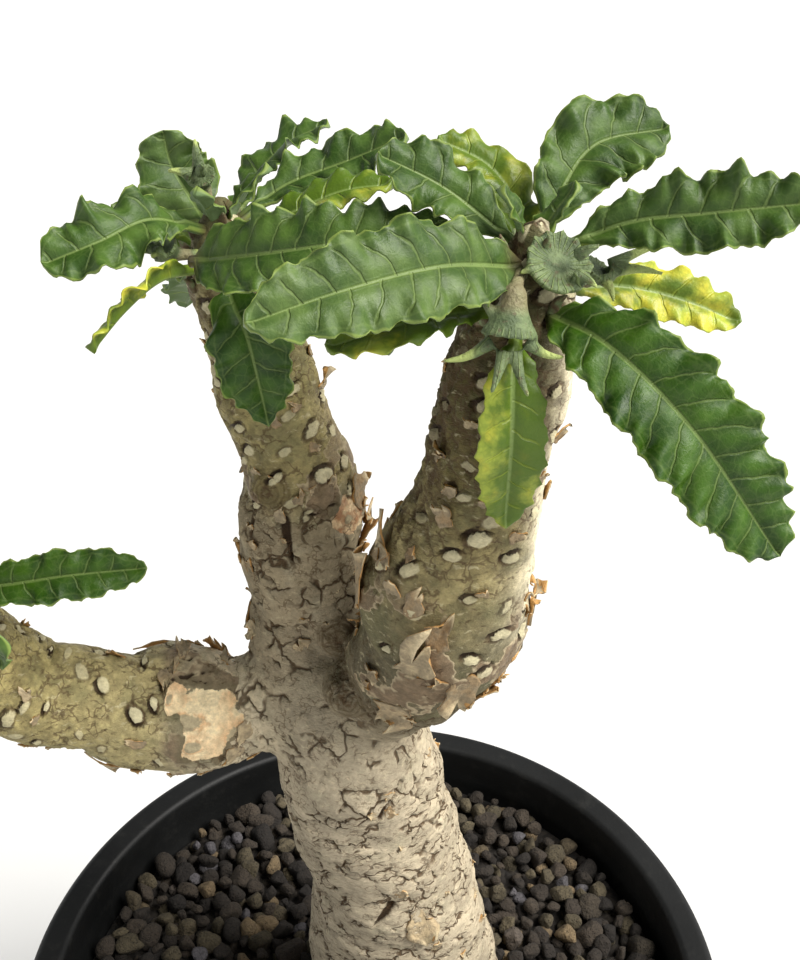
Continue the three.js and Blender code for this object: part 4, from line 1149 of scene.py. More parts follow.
# Each leaf: name, width, the four points its midrib runs through, the way its face looks at mid
# length, and what else sets it apart from a plain leaf
LEAVES = [
    ("leaf_mid_01", 11, [[-22, 2, 291], [-28, -5, 295], [-34, -11, 294], [-41, -14, 292]],
      [-0.2, -0.85, 0.6], {"ripple": 0.3}),
    ("leaf_mid_02", 11.5, [[-22, 6, 290], [-25, 10, 293], [-28, 13, 297], [-29, 14, 302]],
      [0.2, -0.95, 0.3], {"ripple": 0.2, "rise": 0.5, "fall": 0.45}),
    ("leaf_mid_03", 7, [[-23, 0, 286], [-27, -8, 288], [-31, -14, 286], [-35, -19, 282]],
      [-0.6, 0.45, 0.8], {}),
    ("leaf_mid_04", 7.5, [[-22, 5, 285], [-27, 12, 287], [-33, 16, 288], [-39, 18, 289]],
      [0, -0.6, 0.8], {}),
    ("leaf_mid_05", 12, [[-23, -5, 289], [-13, -13, 293], [0, -16, 296], [12, -12, 297]],
      [0, -0.7, 0.7], {"rise": 0.4, "fall": 0.6, "stalk": 0.03}),
    ("leaf_mid_06", 11.5, [[-19, -3, 286], [-17, -9, 284], [-15, -12, 280], [-13, -12, 267]],
      [0.1, -1, 0.35], {"ripple": 0.08, "rise": 0.7, "fall": 0.75}),
    ("leaf_mid_07", 8.5, [[-19, 8, 289], [-17, 16, 293], [-12, 20, 298], [-5, 22, 301]],
      [-0.3, -0.1, 0.95], {"ripple": 0.25}),
    ("leaf_mid_08", 10, [[-18, 5, 291], [-11, 10, 295], [-2, 12, 298], [7, 11, 302]],
      [-0.3, -0.5, 0.9], {"ripple": 0.2}),
    ("leaf_mid_09", 7.5, [[-18, 1, 290], [-9, -2, 295], [-2, -2, 298], [5, -2, 299]],
      [0, -0.3, 0.9], {"ripple": 0.08}),
    ("leaf_mid_10", 10, arch("mid", 78, 10, 31, -48, 1), [0, 0, 1], {}),
    ("leaf_mid_11", 9.5, arch("mid", 116, -4, 29, -50, 5), [0, 0, 1], {}),
    ("leaf_right_01", 12.5, [[21, -20, 294], [11, -30, 298], [0, -37, 298], [-11, -42, 296]],
      [0, -0.8, 0.6], {"ripple": 0.15, "stalk": 0.0, "rise": 0.5}),
    ("leaf_right_02", 8, [[19, -20, 288], [11, -26, 290], [4, -30, 290], [-3, -31, 288]],
      [0, -0.4, 0.9], {"ripple": 0.08}),
    ("leaf_right_03", 10, [[22, -15, 294], [17, -14, 298], [11, -12, 302], [3, -12, 306]],
      [0.3, -0.7, 0.8], {"ripple": 0.2}),
    ("leaf_right_04", 8, [[22, -14, 291], [21.5, -5, 297], [18, 0, 301], [11, 2, 304]],
      [0.2, -0.4, 0.9], {}),
    ("leaf_right_05", 12.5, [[24, -14, 294], [27, -9, 300], [32, -4, 305], [42, 0, 306]],
      [-0.2, -0.9, 0.4], {"ripple": 0.18}),
    ("leaf_right_06", 10.5, [[25, -16, 294], [34, -18, 299], [44, -20, 301], [56, -22, 303]],
      [0, -0.8, 0.6], {"ripple": 0.3}),
    ("leaf_right_07", 14, [[24, -20, 288], [31, -30, 288], [41, -37, 280], [53, -40, 264]],
      [0.1, -0.9, 0.4], {"rise": 0.55, "fall": 0.45, "stalk": 0.04}),
    ("leaf_right_08", 8, [[25, -13, 288], [36, -9, 287], [45, -9, 285], [53, -10, 282]],
      [0, -0.75, 0.6], {"ripple": 0.08}),
    ("leaf_right_09", 9.2, [[21, -21, 286], [20, -28, 284], [20, -31, 275], [20, -29, 261]],
      [0.1, -1, 0.1], {"ripple": 0.03, "rise": 0.6, "fall": 0.55, "lobe": 0.01, "frill": 0.08, "puff": 0.2}),
    ("leaf_right_10", 11, arch("right", 92, 10, 33, -46, 1), [0, 0, 1], {}),
    ("leaf_right_11", 10, arch("right", 134, -6, 31, -50, 5), [0, 0, 1], {}),
    ("leaf_right_12", 10.5, arch("right", 52, -10, 30, -50, 6), [0, 0, 1], {}),
    ("leaf_left_01", 8.5, [[-70, -9, 236], [-58, -12, 238], [-46, -12, 240], [-34, -10, 240]],
      [0, -0.8, 0.6], {}),
    ("leaf_left_02", 9, [[-70, -12, 236], [-62, -22, 241], [-54, -29, 242], [-51, -30, 237]],
      [0.2, -1, 0.3], {}),
    ("leaf_left_03", 12.5, arch("left", 203, 24, 41, -22), [0, 0, 1], {}),
    ("leaf_left_04", 12, arch("left", 158, 16, 40, -26), [0, 0, 1], {}),
    ("leaf_left_05", 11, arch("left", 118, 24, 34, -20), [0, 0, 1], {"ripple": 0.18}),
    ("leaf_left_06", 10, arch("left", 88, 38, 29, -6), [0, 0, 1], {"ripple": 0.2}),
    ("leaf_left_07", 12, arch("left", 257, 20, 38, -36), [0, 0, 1], {}),
    ("leaf_left_08", 11, arch("left", 229, -10, 34, -54, 4), [0, 0, 1], {}),
    ("leaf_left_09", 9, arch("left", 181, -14, 30, -54, 3), [0, 0, 1], {"ripple": 0.08}),
    ("young_leaf_mid_1", 4.6, arch("mid", 10, 74, 13, 34, -2), [0, 0, 1], YOUNG),
    ("young_leaf_mid_2", 4.2, arch("mid", 250, 76, 12, 40, -1), [0, 0, 1], YOUNG),
    ("young_leaf_right_1", 4.6, arch("right", 20, 76, 12, 40, -2), [0, 0, 1], YOUNG),
    ("young_leaf_right_2", 4.2, arch("right", 165, 80, 10, 50, -3), [0, 0, 1], YOUNG),
    ("young_leaf_left_1", 4.8, arch("left", 60, 74, 14, 36, -1), [0, 0, 1], YOUNG),
    ("young_leaf_left_2", 4.4, arch("left", 320, 78, 12, 40, -2), [0, 0, 1], YOUNG),
]


def half_width(t, width, shape):
    """A blade's half width, between a narrow stalk and a rounded tip."""
    stalk, rise, fall = shape["stalk"], shape["rise"], shape["fall"]
    s = np.maximum(0, (t - stalk) / (1 - stalk))
    peak = (rise / (rise + fall)) ** rise * (fall / (rise + fall)) ** fall
    blade = width / 2 * s**rise * np.maximum(0, 1 - s) ** fall / peak
    return np.maximum(blade, np.where(s < 0.5, STALK_HALF, TIP_HALF))


def midrib(points, face, t):
    """The midrib's places at shares of its length, the ways up and sideways there, and its length."""
    rows, length = even_curve(points, MIDRIB_SAMPLES)
    along = unit(np.gradient(rows, axis=0))
    up = np.empty_like(along)
    middle = MIDRIB_SAMPLES // 2
    up[middle] = unit(np.array(face) - along[middle] * np.dot(face, along[middle]))
    for order, back in ((range(middle + 1, MIDRIB_SAMPLES), -1), (range(middle - 1, -1, -1), 1)):
        for i in order:
            last = up[i + back]
            up[i] = unit(last - along[i] * np.dot(last, along[i]))
    at = np.linspace(0, 1, MIDRIB_SAMPLES)
    place, along, up = (
        np.stack([np.interp(t, at, column) for column in part.T], 1) for part in (rows, along, up)
    )
    return place, unit(up), unit(np.cross(along, up)), length


def vein_count(x, y):
    """How many side veins lie between the leaf's base and a spot: whole numbers are on a vein."""
    across = np.abs(y)
    return (x - VEIN["slant"] * across - VEIN["bend"] * across**2) / VEIN["pitch"] + 0.5 * (y > 0)


def make_leaf(name, width, points, face, habit, serial):
    shape = {**PLAIN_LEAF, **habit}
    _, length = even_curve(points, MIDRIB_SAMPLES)
    rows = max(LEAF_ROWS_LEAST, int(length / LEAF_STEP))
    columns = LEAF_COLUMNS
    run = np.linspace(0, 1, rows)
    t = np.repeat(run + TIP_CROWDING * np.sin(np.pi * run) * run, columns)
    spread = np.linspace(-1, 1, columns)
    q = np.tile(0.6 * spread + 0.4 * np.sin(spread * np.pi / 2), rows)
    place, up, side, length = midrib(points, face, t)
    s = np.maximum(0, (t - shape["stalk"]) / (1 - shape["stalk"]))
    half = half_width(t, width, shape)
    edge = np.abs(q)
    x = t * length
    phase = 2 * np.pi * max(2, length / WAVELENGTH) * s + serial + 1.9 * (q > 0)
    swell = np.minimum(1, 4 * s * (1 - s) + 0.2)
    crisp = np.sin(phase) + shape["crisp"] * np.sin(2.3 * phase + 2 * serial)
    crisp += 0.3 * np.sin(4.1 * phase + serial)
    wave = shape["ripple"] * half * edge**1.6 * crisp * swell
    blade = smoothstep(0, 0.08, s) * smoothstep(STALK_HALF, 2.2, half)
    teeth = np.abs(np.sin(np.pi * x / TOOTH["pitch"] + serial)) * TOOTH["depth"] * edge**8 * blade
    y = q * half * (1 + shape["lobe"] * q * q * np.sin(phase + 0.8))
    count = vein_count(x, y)
    lobes = TOOTH["lobe"] * edge**4 * np.cos(2 * np.pi * count) * blade
    y = y - np.sign(q) * (teeth + lobes)
    lift = edge * half * math.tan(math.radians(shape["fold"])) - shape["camber"] * half * q * q + wave
    lift += shape["frill"] * edge**3 * np.cos(2 * np.pi * count + 1 + 0.5 * serial) * blade
    puff = shape["puff"] * np.abs(np.sin(np.pi * count)) ** 0.8 * blade
    puff = puff * smoothstep(0.3, 1.6, np.abs(y)) * (1 - 0.6 * edge**5)
    groove = VEIN["groove"] * np.exp(-(y / 0.55) ** 2) * blade
    rib = RIB * (1 - 0.75 * t) * np.exp(-(y / (0.75 * (1.1 - 0.5 * t))) ** 2) * blade
    thick = BLADE * (1 - 0.55 * edge**3)
    round_ = 2 * STALK_HALF * 0.85 * np.sqrt(np.maximum(1 - q * q, 0.05))
    thick = thick * blade + round_ * (1 - blade)
    tops = place + side * y[:, None] + up * (lift * blade + puff - groove + thick / 2)[:, None]
    bottoms = place + side * y[:, None] + up * (lift * blade + puff * 0.8 - thick / 2 - rib)[:, None]
    piece = new_object(name + "_blade", np.vstack([tops, bottoms]), sheet_faces(rows, columns))
    own = (serial * 0.618) % 1
    paint(piece.data, "sheet", np.tile(np.column_stack([x, y, t]), (2, 1)))
    paint(piece.data, "spread", np.tile(np.column_stack([q, half, np.full(len(q), own)]), (2, 1)))
    paint(piece.data, "top", np.repeat([1.0, 0.0], len(q)))
    return piece


def leaf_veins(nodes):
    """Masks of a leaf's midrib, side veins, loops near the margin, fine net and margin."""
    sheet = nodes.field("sheet", vector=True)
    x, y, t = nodes.parts(sheet)
    q, half, own = nodes.parts(nodes.field("spread", vector=True))
    shift = nodes.vector(nodes.times(own, 97.0), 0.0, nodes.times(own, 31.0))
    place = nodes.vector_math("ADD", sheet, shift)
    across = nodes.math("ABSOLUTE", y)
    lean = nodes.plus(nodes.times(across, VEIN["slant"]), nodes.times(across, across, VEIN["bend"]))
    side = nodes.times(nodes.math("GREATER_THAN", y, 0.0), 0.5)
    wander = nodes.times(nodes.less(nodes.noise(place, 0.35, 2.0), 0.5), 0.35)
    count = nodes.plus(nodes.times(nodes.less(x, lean), 1 / VEIN["pitch"]), side, wander)
    off = nodes.math("ABSOLUTE", nodes.less(nodes.math("FRACT", count), 0.5))
    near = nodes.times(nodes.less(0.5, off), VEIN["pitch"])
    margin = nodes.times(half, nodes.rest_of(nodes.math("ABSOLUTE", q)))
    lateral = nodes.times(nodes.step(near, 0.27, 0.06), nodes.step(margin, 0.5, 1.8))
    width = nodes.times(nodes.rest_of(nodes.times(t, 0.8)), 0.32)
    rib = nodes.step(nodes.less(across, width), 0.2, -0.08)
    loop_at = nodes.plus(1.1, nodes.times(off, -1.2), 0.3)
    loop = nodes.step(nodes.math("ABSOLUTE", nodes.less(margin, loop_at)), 0.24, 0.06)
    flat = nodes.vector_math("MULTIPLY", place, (1.0, 1.0, 0.0))
    net = nodes.step(nodes.cells(nodes.warped(flat, 0.8, 0.6), 0.75), 0.09, 0.02)
    return {
        "place": place, "rib": rib, "lateral": lateral, "loop": loop, "net": net, "t": t, "own": own,
        "margin": nodes.step(margin, 0.42, 0.12), "near": near, "across": across, "sheet": sheet, "q": q,
    }


def leaf_look(dark, light):
    """A green leaf's look, from its darker and lighter green."""
    def build(nodes):
        veins = leaf_veins(nodes)
        place = veins["place"]
        green = nodes.blend(nodes.step(nodes.noise(place, 0.22, 3.0), 0.3, 0.7), dark, light)
        # The green is painted darker towards the side veins and lighter on the puckers between them: painted
        # shade and highlight of the puckered blade
        above = nodes.coats(
            nodes.darkened(green, nodes.step(veins["near"], 0.2, 1.6, 0.85, 1.12)),
            (nodes.times(veins["net"], 0.08), VEIN_PALE),
            (nodes.times(veins["loop"], 0.12), VEIN_PALE),
            (nodes.times(veins["lateral"], 0.32), VEIN_PALE),
            (nodes.times(veins["rib"], 0.52), VEIN_PALE),
            (nodes.times(veins["margin"], 0.55), MARGIN_LIME),
        )
        colour = nodes.coats(
            nodes.blend(veins["lateral"], LEAF_UNDER, VEIN_PALE),
            (nodes.field("top"), above),
            (nodes.step(veins["t"], 0.1, 0.0, 0.0, 0.85), STALK_BROWN),
        )
        grain = nodes.noise(veins["sheet"], 2.6, 3.0, 0.6)
        height = nodes.plus(
            nodes.times(veins["lateral"], -0.12), nodes.times(veins["rib"], -0.12), nodes.times(grain, 0.08),
        )
        return {
            "Base Color": colour,
            "Roughness": nodes.step(nodes.noise(place, 0.3, 3.0), 0.3, 0.7, 0.44, 0.6),
            "Normal": nodes.bump(height),
        }
    return build


def yellow_look(nodes):
    """An ageing leaf: yellow from the margin in, green left in blotches and along the veins."""
    veins = leaf_veins(nodes)
    place = veins["place"]
    blotch = nodes.noise(place, 0.2, 4.0, 0.6)
    inner = nodes.step(veins["across"], 3.6, 0.3, 0.0, 0.45)
    kept = nodes.times(nodes.less(veins["own"], 0.3), 0.1)
    fading = nodes.step(veins["t"], 0.4, 0.85, 0.5, 0.1)
    half = nodes.times(nodes.step(veins["q"], 0.05, -0.1), veins["own"], fading)
    green = nodes.step(nodes.plus(blotch, nodes.times(inner, 0.4), kept, half), 0.5, 0.75)
    limed = nodes.plus(nodes.noise(place, 0.5, 3.0), nodes.times(veins["own"], 0.22))
    yellow = nodes.blend(nodes.step(limed, 0.35, 0.7), LEAF_YELLOW, LEAF_LIME)
    colour = nodes.coats(
        nodes.darkened(yellow, nodes.lerp(veins["own"], 1.05, 0.72)),
        (nodes.times(green, 0.85), LEAF_OLIVE),
        (nodes.times(veins["lateral"], 0.25), LEAF_LIME),
        (nodes.times(veins["rib"], 0.7), VEIN_PALE),
        (nodes.times(veins["net"], 0.15), LEAF_OLIVE),
        (nodes.step(veins["t"], 0.1, 0.0, 0.0, 0.7), STALK_BROWN),
    )
    grain = nodes.noise(place, 2.4, 3.0)
    height = nodes.plus(nodes.times(veins["lateral"], -0.12), nodes.times(grain, 0.08))
    return {
        "Base Color": colour,
        "Roughness": nodes.step(blotch, 0.3, 0.7, 0.36, 0.5),
        "Normal": nodes.bump(height),
    }


# Flower heads and the scales round each growing tip

# Each has a stalk from root to centre, a flat head that looks along axis, and arms to their tips
FLOWERS = {
    "flower_right_1": {
        "root": [21, -22, 294], "centre": [19.3, -28, 288.4], "axis": [-0.1, -0.3, -0.95], "radius": 3.7,
        "rings": "funnel",
        "arms": [
            [11.2, -29.5, 285.5], [17, -33, 283], [21.5, -33, 282.5], [26, -29.5, 286], [15, -26, 294.5],
        ],
    },
    "flower_right_2": {
        "root": [24, -18, 292], "centre": [25.5, -22.5, 295.5], "axis": [0.25, -0.6, 0.75], "radius": 4.2,
        "arms": [[30, -24.5, 298.5], [30, -25.5, 293.5], [20.5, -24.5, 295]],
    },
    "flower_right_3": {
        "root": [25, -17, 292], "centre": [31.5, -17, 292.5], "axis": [0.5, -0.2, 0.8], "radius": 2.4,
        "arms": [[39.5, -15, 295], [39.5, -18.5, 292.5], [33, -21.5, 290]],
    },
    "flower_mid_1": {
        "root": [-21, 4, 291], "centre": [-22.5, 5, 298], "axis": [-0.1, -0.5, 0.8], "radius": 2.2,
        "arms": [[-23, 6, 303], [-27, 4, 299], [-21.5, 1.5, 300.5]],
    },
    "flower_mid_2": {
        "root": [-22, 1, 288], "centre": [-27.5, -1, 289.5], "axis": [-0.5, -0.4, 0.6], "radius": 2.3,
        "arms": [[-36, -3.5, 290], [-30, 2.5, 289], [-28.5, -5, 289.5]],
    },
    "flower_left_1": {
        "root": [-73, -9, 239], "centre": [-79, -13, 245], "axis": [-0.5, -0.5, 0.7], "radius": 3,
        "arms": [[-86, -15, 246], [-82, -19.5, 245], [-76, -17.5, 248], [-76, -10, 250], [-83, -9, 249]],
    },
}


def tube(points, radii, sides=10):
    """A closed tube's points and faces, through even steps of a smooth curve."""
    line, _ = even_curve(np.column_stack([points, radii]), 3 * len(points) + 4)
    rows, girth = line[:, :3], line[:, 3]
    along = unit(np.gradient(rows, axis=0))
    first = unit(np.cross(along[0], [0.3, 0.5, 0.8]))
    angle = circle(sides)
    rings = []
    for place, way, radius in zip(rows, along, girth):
        first = unit(first - way * np.dot(first, way))
        second = np.cross(way, first)
        rings.append(place + radius * (np.outer(np.cos(angle), first) + np.outer(np.sin(angle), second)))
    return np.vstack(rings), tube_faces(len(rows), sides)


def square_to(look):
    """Two ways square to each other and to the way a head looks."""
    first = unit(np.cross(look, HEAD_ACROSS))
    return first, np.cross(look, first)


def head_part(centre, look, radius, outline):
    """The scalloped dish of a flower head, as a closed mesh of rings about its axis."""
    first, second = square_to(look)
    angle = circle(HEAD_SIDES)
    rings = []
    for height, size, scallop in outline:
        wave = 1 + scallop * np.cos(HEAD_LOBES * angle)
        out = np.outer(np.cos(angle) * wave, first) + np.outer(np.sin(angle) * wave, second)
        rise = height * radius + 0.12 * radius * scallop / 0.1 * np.sin(HEAD_LOBES * angle + 1)
        rings.append(centre + look * rise[:, None] + out * size * radius)
    return np.vstack(rings), tube_faces(len(outline), HEAD_SIDES)


def make_flower(name, flower):
    centre, axis, root = (np.array(flower[key], float) for key in ("centre", "axis", "root"))
    look = unit(axis)
    radius = flower["radius"]
    outline = HEAD_RINGS[flower.get("rings", "dish")]
    back = centre + look * (outline[0][0] + 0.2) * radius
    stalk = [HEAD["stalk"], HEAD["stalk"] * 0.85, HEAD["stalk"] * 1.2]
    parts = [
        tube([root, (root + back) / 2 - look * 0.3, back], stalk),
        head_part(centre, look, radius, outline),
    ]
    for arm in flower["arms"]:
        tip = np.array(arm, float)
        reach = tip - centre
        start = centre + unit(reach) * 0.6 * radius
        bend = (start + tip) / 2 + look * 0.07 * np.linalg.norm(reach)
        parts.append(tube([start, bend, tip], [HEAD["arm_base"], HEAD["arm_base"] * 0.6, HEAD["arm_tip"]]))
    piece = new_object(name + "_head", *joined(parts))
    add_remesh(piece, FLOWER_VOXEL)
    smooth = piece.modifiers.new("soft", "SMOOTH")
    smooth.factor = 0.5
    smooth.iterations = FLOWER_SMOOTHING
    piece = applied(piece)
    points = points_of(piece.data)
    paint(piece.data, "rest", points)
    away = points - centre
    out = away - look * (away @ look)[:, None]
    first, second = square_to(look)
    angle = np.arctan2(out @ second, out @ first)
    share = np.linalg.norm(out, axis=1) / radius
    paint(piece.data, "polar", np.column_stack([angle, share, away @ look / radius]))
    return piece


def flower_look(nodes):
    rest = nodes.field("rest", vector=True)
    angle, share, height = nodes.parts(nodes.field("polar", vector=True))
    head = nodes.times(nodes.step(share, 1.2, 1.0), nodes.step(height, -1.2, -0.9))
    veins = nodes.step(nodes.math("SINE", nodes.times(angle, 2.0 * HEAD_LOBES)), 0.4, 0.95)
    veins = nodes.times(veins, head, nodes.step(share, 0.3, 0.6), nodes.step(height, -0.4, 0.0))
    colour = nodes.blend(nodes.step(nodes.noise(rest, 0.5, 3.0), 0.35, 0.65), FLOWER_DARK, FLOWER_GREEN)
    colour = nodes.blend(nodes.step(share, 0.95, 1.3), colour, FLOWER_LIME)
    colour = nodes.blend(nodes.times(veins, 0.5), colour, VEIN_PALE)
    stalk = nodes.times(nodes.step(height, -0.6, -1.1), nodes.step(share, 1.1, 0.8))
    colour = nodes.blend(nodes.times(stalk, 0.5), colour, STALK_TAN)
    colour = nodes.blend(nodes.step(nodes.noise(rest, 1.3, 3.0), 0.56, 0.72, 0.0, 0.6), colour, STALK_BROWN)
    height = nodes.plus(nodes.times(veins, 0.2), nodes.times(nodes.noise(rest, 1.8, 4.0, 0.6), 0.4))
    return {"Base Color": colour, "Normal": nodes.bump(height)}


def make_tip_scales():
    """Brown pointed scales, the stipules of lost leaves, round each growing tip."""
    random = np.random.default_rng(3)
    parts = []
    for name in CROWNS:
        for k in range(TIP_SCALES["count"]):
            share = TIP_SCALES["from"] - TIP_SCALES["pitch"] * k
            angle = math.radians(SCAR_TURN * k + 15)
            place, outward, along = (part[0] for part in limbs[name].spot(share, angle, -0.3))
            reach = unit(outward * random.uniform(0.5, 0.9) + along) * TIP_SCALES["length"]
            reach = reach * random.uniform(0.7, 1.15)
            curl = outward * random.uniform(-0.3, 0.6)
            points = [place - along * 0.4, place + reach * 0.5, place + reach + curl]
            parts.append(tube(points, [TIP_SCALES["root"], TIP_SCALES["root"] * 0.7, 0.12], 8))
    piece = new_object("tip_scales", *joined(parts))
    paint(piece.data, "rest", points_of(piece.data))
    return piece


def scale_look(nodes):
    rest = nodes.field("rest", vector=True)
    colour = nodes.blend(nodes.step(nodes.noise(rest, 0.9, 3.0), 0.35, 0.65), STALK_BROWN, FLOWER_GREEN)
    colour = nodes.blend(nodes.step(nodes.noise(rest, 0.3, 2.0), 0.5, 0.65), colour, CORK_BROWN)
    return {"Base Color": colour, "Normal": nodes.bump(nodes.noise(rest, 2.2, 3.0), 0.4)}


# Gravel

def inner_radius(z):
    foot = FOOT_RADIUS - WALL
    top = RIM_RADIUS - RIM_BREADTH - STEP_IN
    return foot + (top - foot) * (z - FLOOR) / (POT_HEIGHT - RIM_DEPTH - FLOOR)


def turned(name, profile, sides):
    """A solid mesh from points of radius and height, turned about Z."""
    angle = circle(sides)
    outward = np.column_stack([np.cos(angle), np.sin(angle)])
    rings = [
        np.column_stack([outward * max(radius, 0.01), np.full(sides, height)])
        for radius, height in np.array(profile, float)
    ]
    return new_object(name, np.vstack(rings), tube_faces(len(rings), sides))


def cut_by(piece, tool):
    """The piece with the tool's space taken out of it."""
    boolean = piece.modifiers.new("cut", "BOOLEAN")
    boolean.operation = "DIFFERENCE"
    boolean.solver = "EXACT"
    boolean.object = tool
    piece = applied(piece)
    bpy.data.objects.remove(tool)
    return piece


def make_filling():
    """What the grains lie on: a plain filling down to the pot's floor, with room for the root."""
    bottom = FLOOR + CLEARANCE
    top = GRAVEL_TOP + FILLING_TOP
    wall = inner_radius(top) - CLEARANCE
    profile = [(0, bottom), (inner_radius(bottom) - CLEARANCE, bottom), (wall, top)]
    profile += [(wall * share, top) for share in np.linspace(0.95, 0, 20)]
    filling = turned("gravel_bed", profile, FILLING_SIDES)
    room = limbs["trunk"].skin(**ROOT_ROOM, height=CLEARANCE)
    filling = cut_by(filling, new_object("root_room", *room))
    paint(filling.data, "rest", points_of(filling.data))
    return filling


def turned_by_grain(a, b, angle):
    """Two coordinates of each grain's points, after a turn by the grain's own angle."""
    cos, sin = np.cos(angle)[:, None], np.sin(angle)[:, None]
    return a * cos + b * sin, b * cos - a * sin


def ball(detail):
    made = bmesh.new()
    bmesh.ops.create_icosphere(made, subdivisions=detail, radius=1)
    points = np.array([v.co for v in made.verts])
    faces = np.array([[v.index for v in f.verts] for f in made.faces])
    made.free()
    return points, faces


def scattered(gap, random, room):
    """Places in the pot no closer to each other than the gap, in a disc of that radius."""
    cell = gap / math.sqrt(2)
    taken = {}
    places = []
    for _ in range(GRAIN_TRIES):
        x, y = random.uniform(-room, room, 2)
        i, j = int(x // cell), int(y // cell)
        if math.hypot(x, y) > room or (i, j) in taken:
            continue
        near = [taken.get((i + a, j + b)) for a in range(-2, 3) for b in range(-2, 3)]
        if all(p is None or math.hypot(p[0] - x, p[1] - y) > gap for p in near):
            taken[i, j] = (x, y)
            places.append((x, y))
    return np.array(places)


def make_grains(name, layer, random):
    directions, faces = ball(layer["detail"])
    places = scattered(layer["gap"], random, inner_radius(GRAVEL_TOP) - layer["large"] * 0.8)
    count = len(places)
    size = random.uniform(layer["small"], layer["large"], count) * random.choice([1, 1.15, 1.4], count)
    stem_x, stem_y, _, stem_radius = LIMBS["trunk"][1][2]
    clear = np.hypot(places[:, 0] - stem_x, places[:, 1] - stem_y) > stem_radius + size * 0.75
    clear &= np.hypot(places[:, 0], places[:, 1]) < inner_radius(GRAVEL_TOP) - size
    places, size = places[clear], size[clear]
    count = len(places)
    planes = unit(random.normal(size=(count, GRAIN_CUTS, 3)))
    depth = random.uniform(0.48, 0.92, (count, GRAIN_CUTS))
    reach = np.maximum(np.einsum("vk,cpk->cvp", directions, planes), 0) / depth[:, None, :]
    radius = (np.sum(reach**GRAIN_SHARP, axis=2) + 1) ** (-1 / GRAIN_SHARP)
    stretch = random.uniform(0.78, 1.22, (count, 1, 3)) * [1, 1, 0.85]
    grains = directions[None] * radius[..., None] * stretch * size[:, None, None]
    turn = random.uniform(0, 2 * np.pi, count)
    tilt = random.uniform(-0.6, 0.6, count)
    x, y, z = grains[..., 0], grains[..., 1], grains[..., 2]
    x, z = turned_by_grain(x, z, tilt)
    y, x = turned_by_grain(y, x, turn)
    height = GRAVEL_TOP + layer["height"] + random.uniform(-0.5, 0.5, count)
    grains = np.stack([x + places[:, :1], y + places[:, 1:], z + height[:, None]], axis=2).reshape(-1, 3)
    all_faces = (faces[None] + (np.arange(count) * len(directions))[:, None, None]).reshape(-1, 3)
    piece = new_object(name, grains, all_faces.tolist())
    for field in ("kind", "other"):
        paint(piece.data, field, np.repeat(random.uniform(0, 1, count), len(directions)))
    paint(piece.data, "rest", grains)
    return piece


def grain_look(nodes):
    rest = nodes.field("rest", vector=True)
    kind, other = nodes.field("kind"), nodes.field("other")
    colour = nodes.coats(
        GRAIN_DARK,
        (other, GRAIN_BROWN),
        (nodes.step(kind, 0.62, 0.7), GRAIN_OLIVE),
        (nodes.step(kind, 0.86, 0.88), GRAIN_TAN),
        (nodes.step(kind, 0.965, 0.97), GRAIN_LILAC),
    )
    colour = nodes.darkened(colour, nodes.lerp(other, 0.75, 1.2))
    pores = nodes.step(nodes.cells(rest, 1.6, "F1"), 0.12, 0.34)
    speckle = nodes.noise(rest, 1.4, 5.0, 0.7)
    colour = nodes.darkened(colour, nodes.step(speckle, 0.3, 0.7, 0.7, 1.25))
    colour = nodes.darkened(colour, nodes.lerp(pores, 0.6, 1.0))
    lumps = nodes.noise(rest, 0.8, 2.0)
    coarse = nodes.noise(rest, 1.4, 3.0, 0.7)
    height = nodes.plus(nodes.times(pores, 0.25), nodes.times(coarse, 0.7), nodes.times(lumps, 0.7))
    return {"Base Color": colour, "Normal": nodes.bump(height, 0.9)}


def bed_look(nodes):
    rest = nodes.field("rest", vector=True)
    crumbs = nodes.cells(rest, 0.55, "F1")
    shade = nodes.parts(nodes.cells(rest, 0.55, "F1", "Color"))[0]
    colour = nodes.darkened(nodes.blend(shade, GRAIN_DARK, GRAIN_BROWN), 0.55)
    return {"Base Color": colour, "Normal": nodes.bump(nodes.times(crumbs, -1.2))}


# Pot

def arc(centre, radius, start, end, count):
    """Points of a quarter or other arc in the plane of radius and height, angles in degrees."""
    angles = np.radians(np.linspace(start, end, count))
    return [(centre[0] + radius * math.cos(a), centre[1] + radius * math.sin(a)) for a in angles]


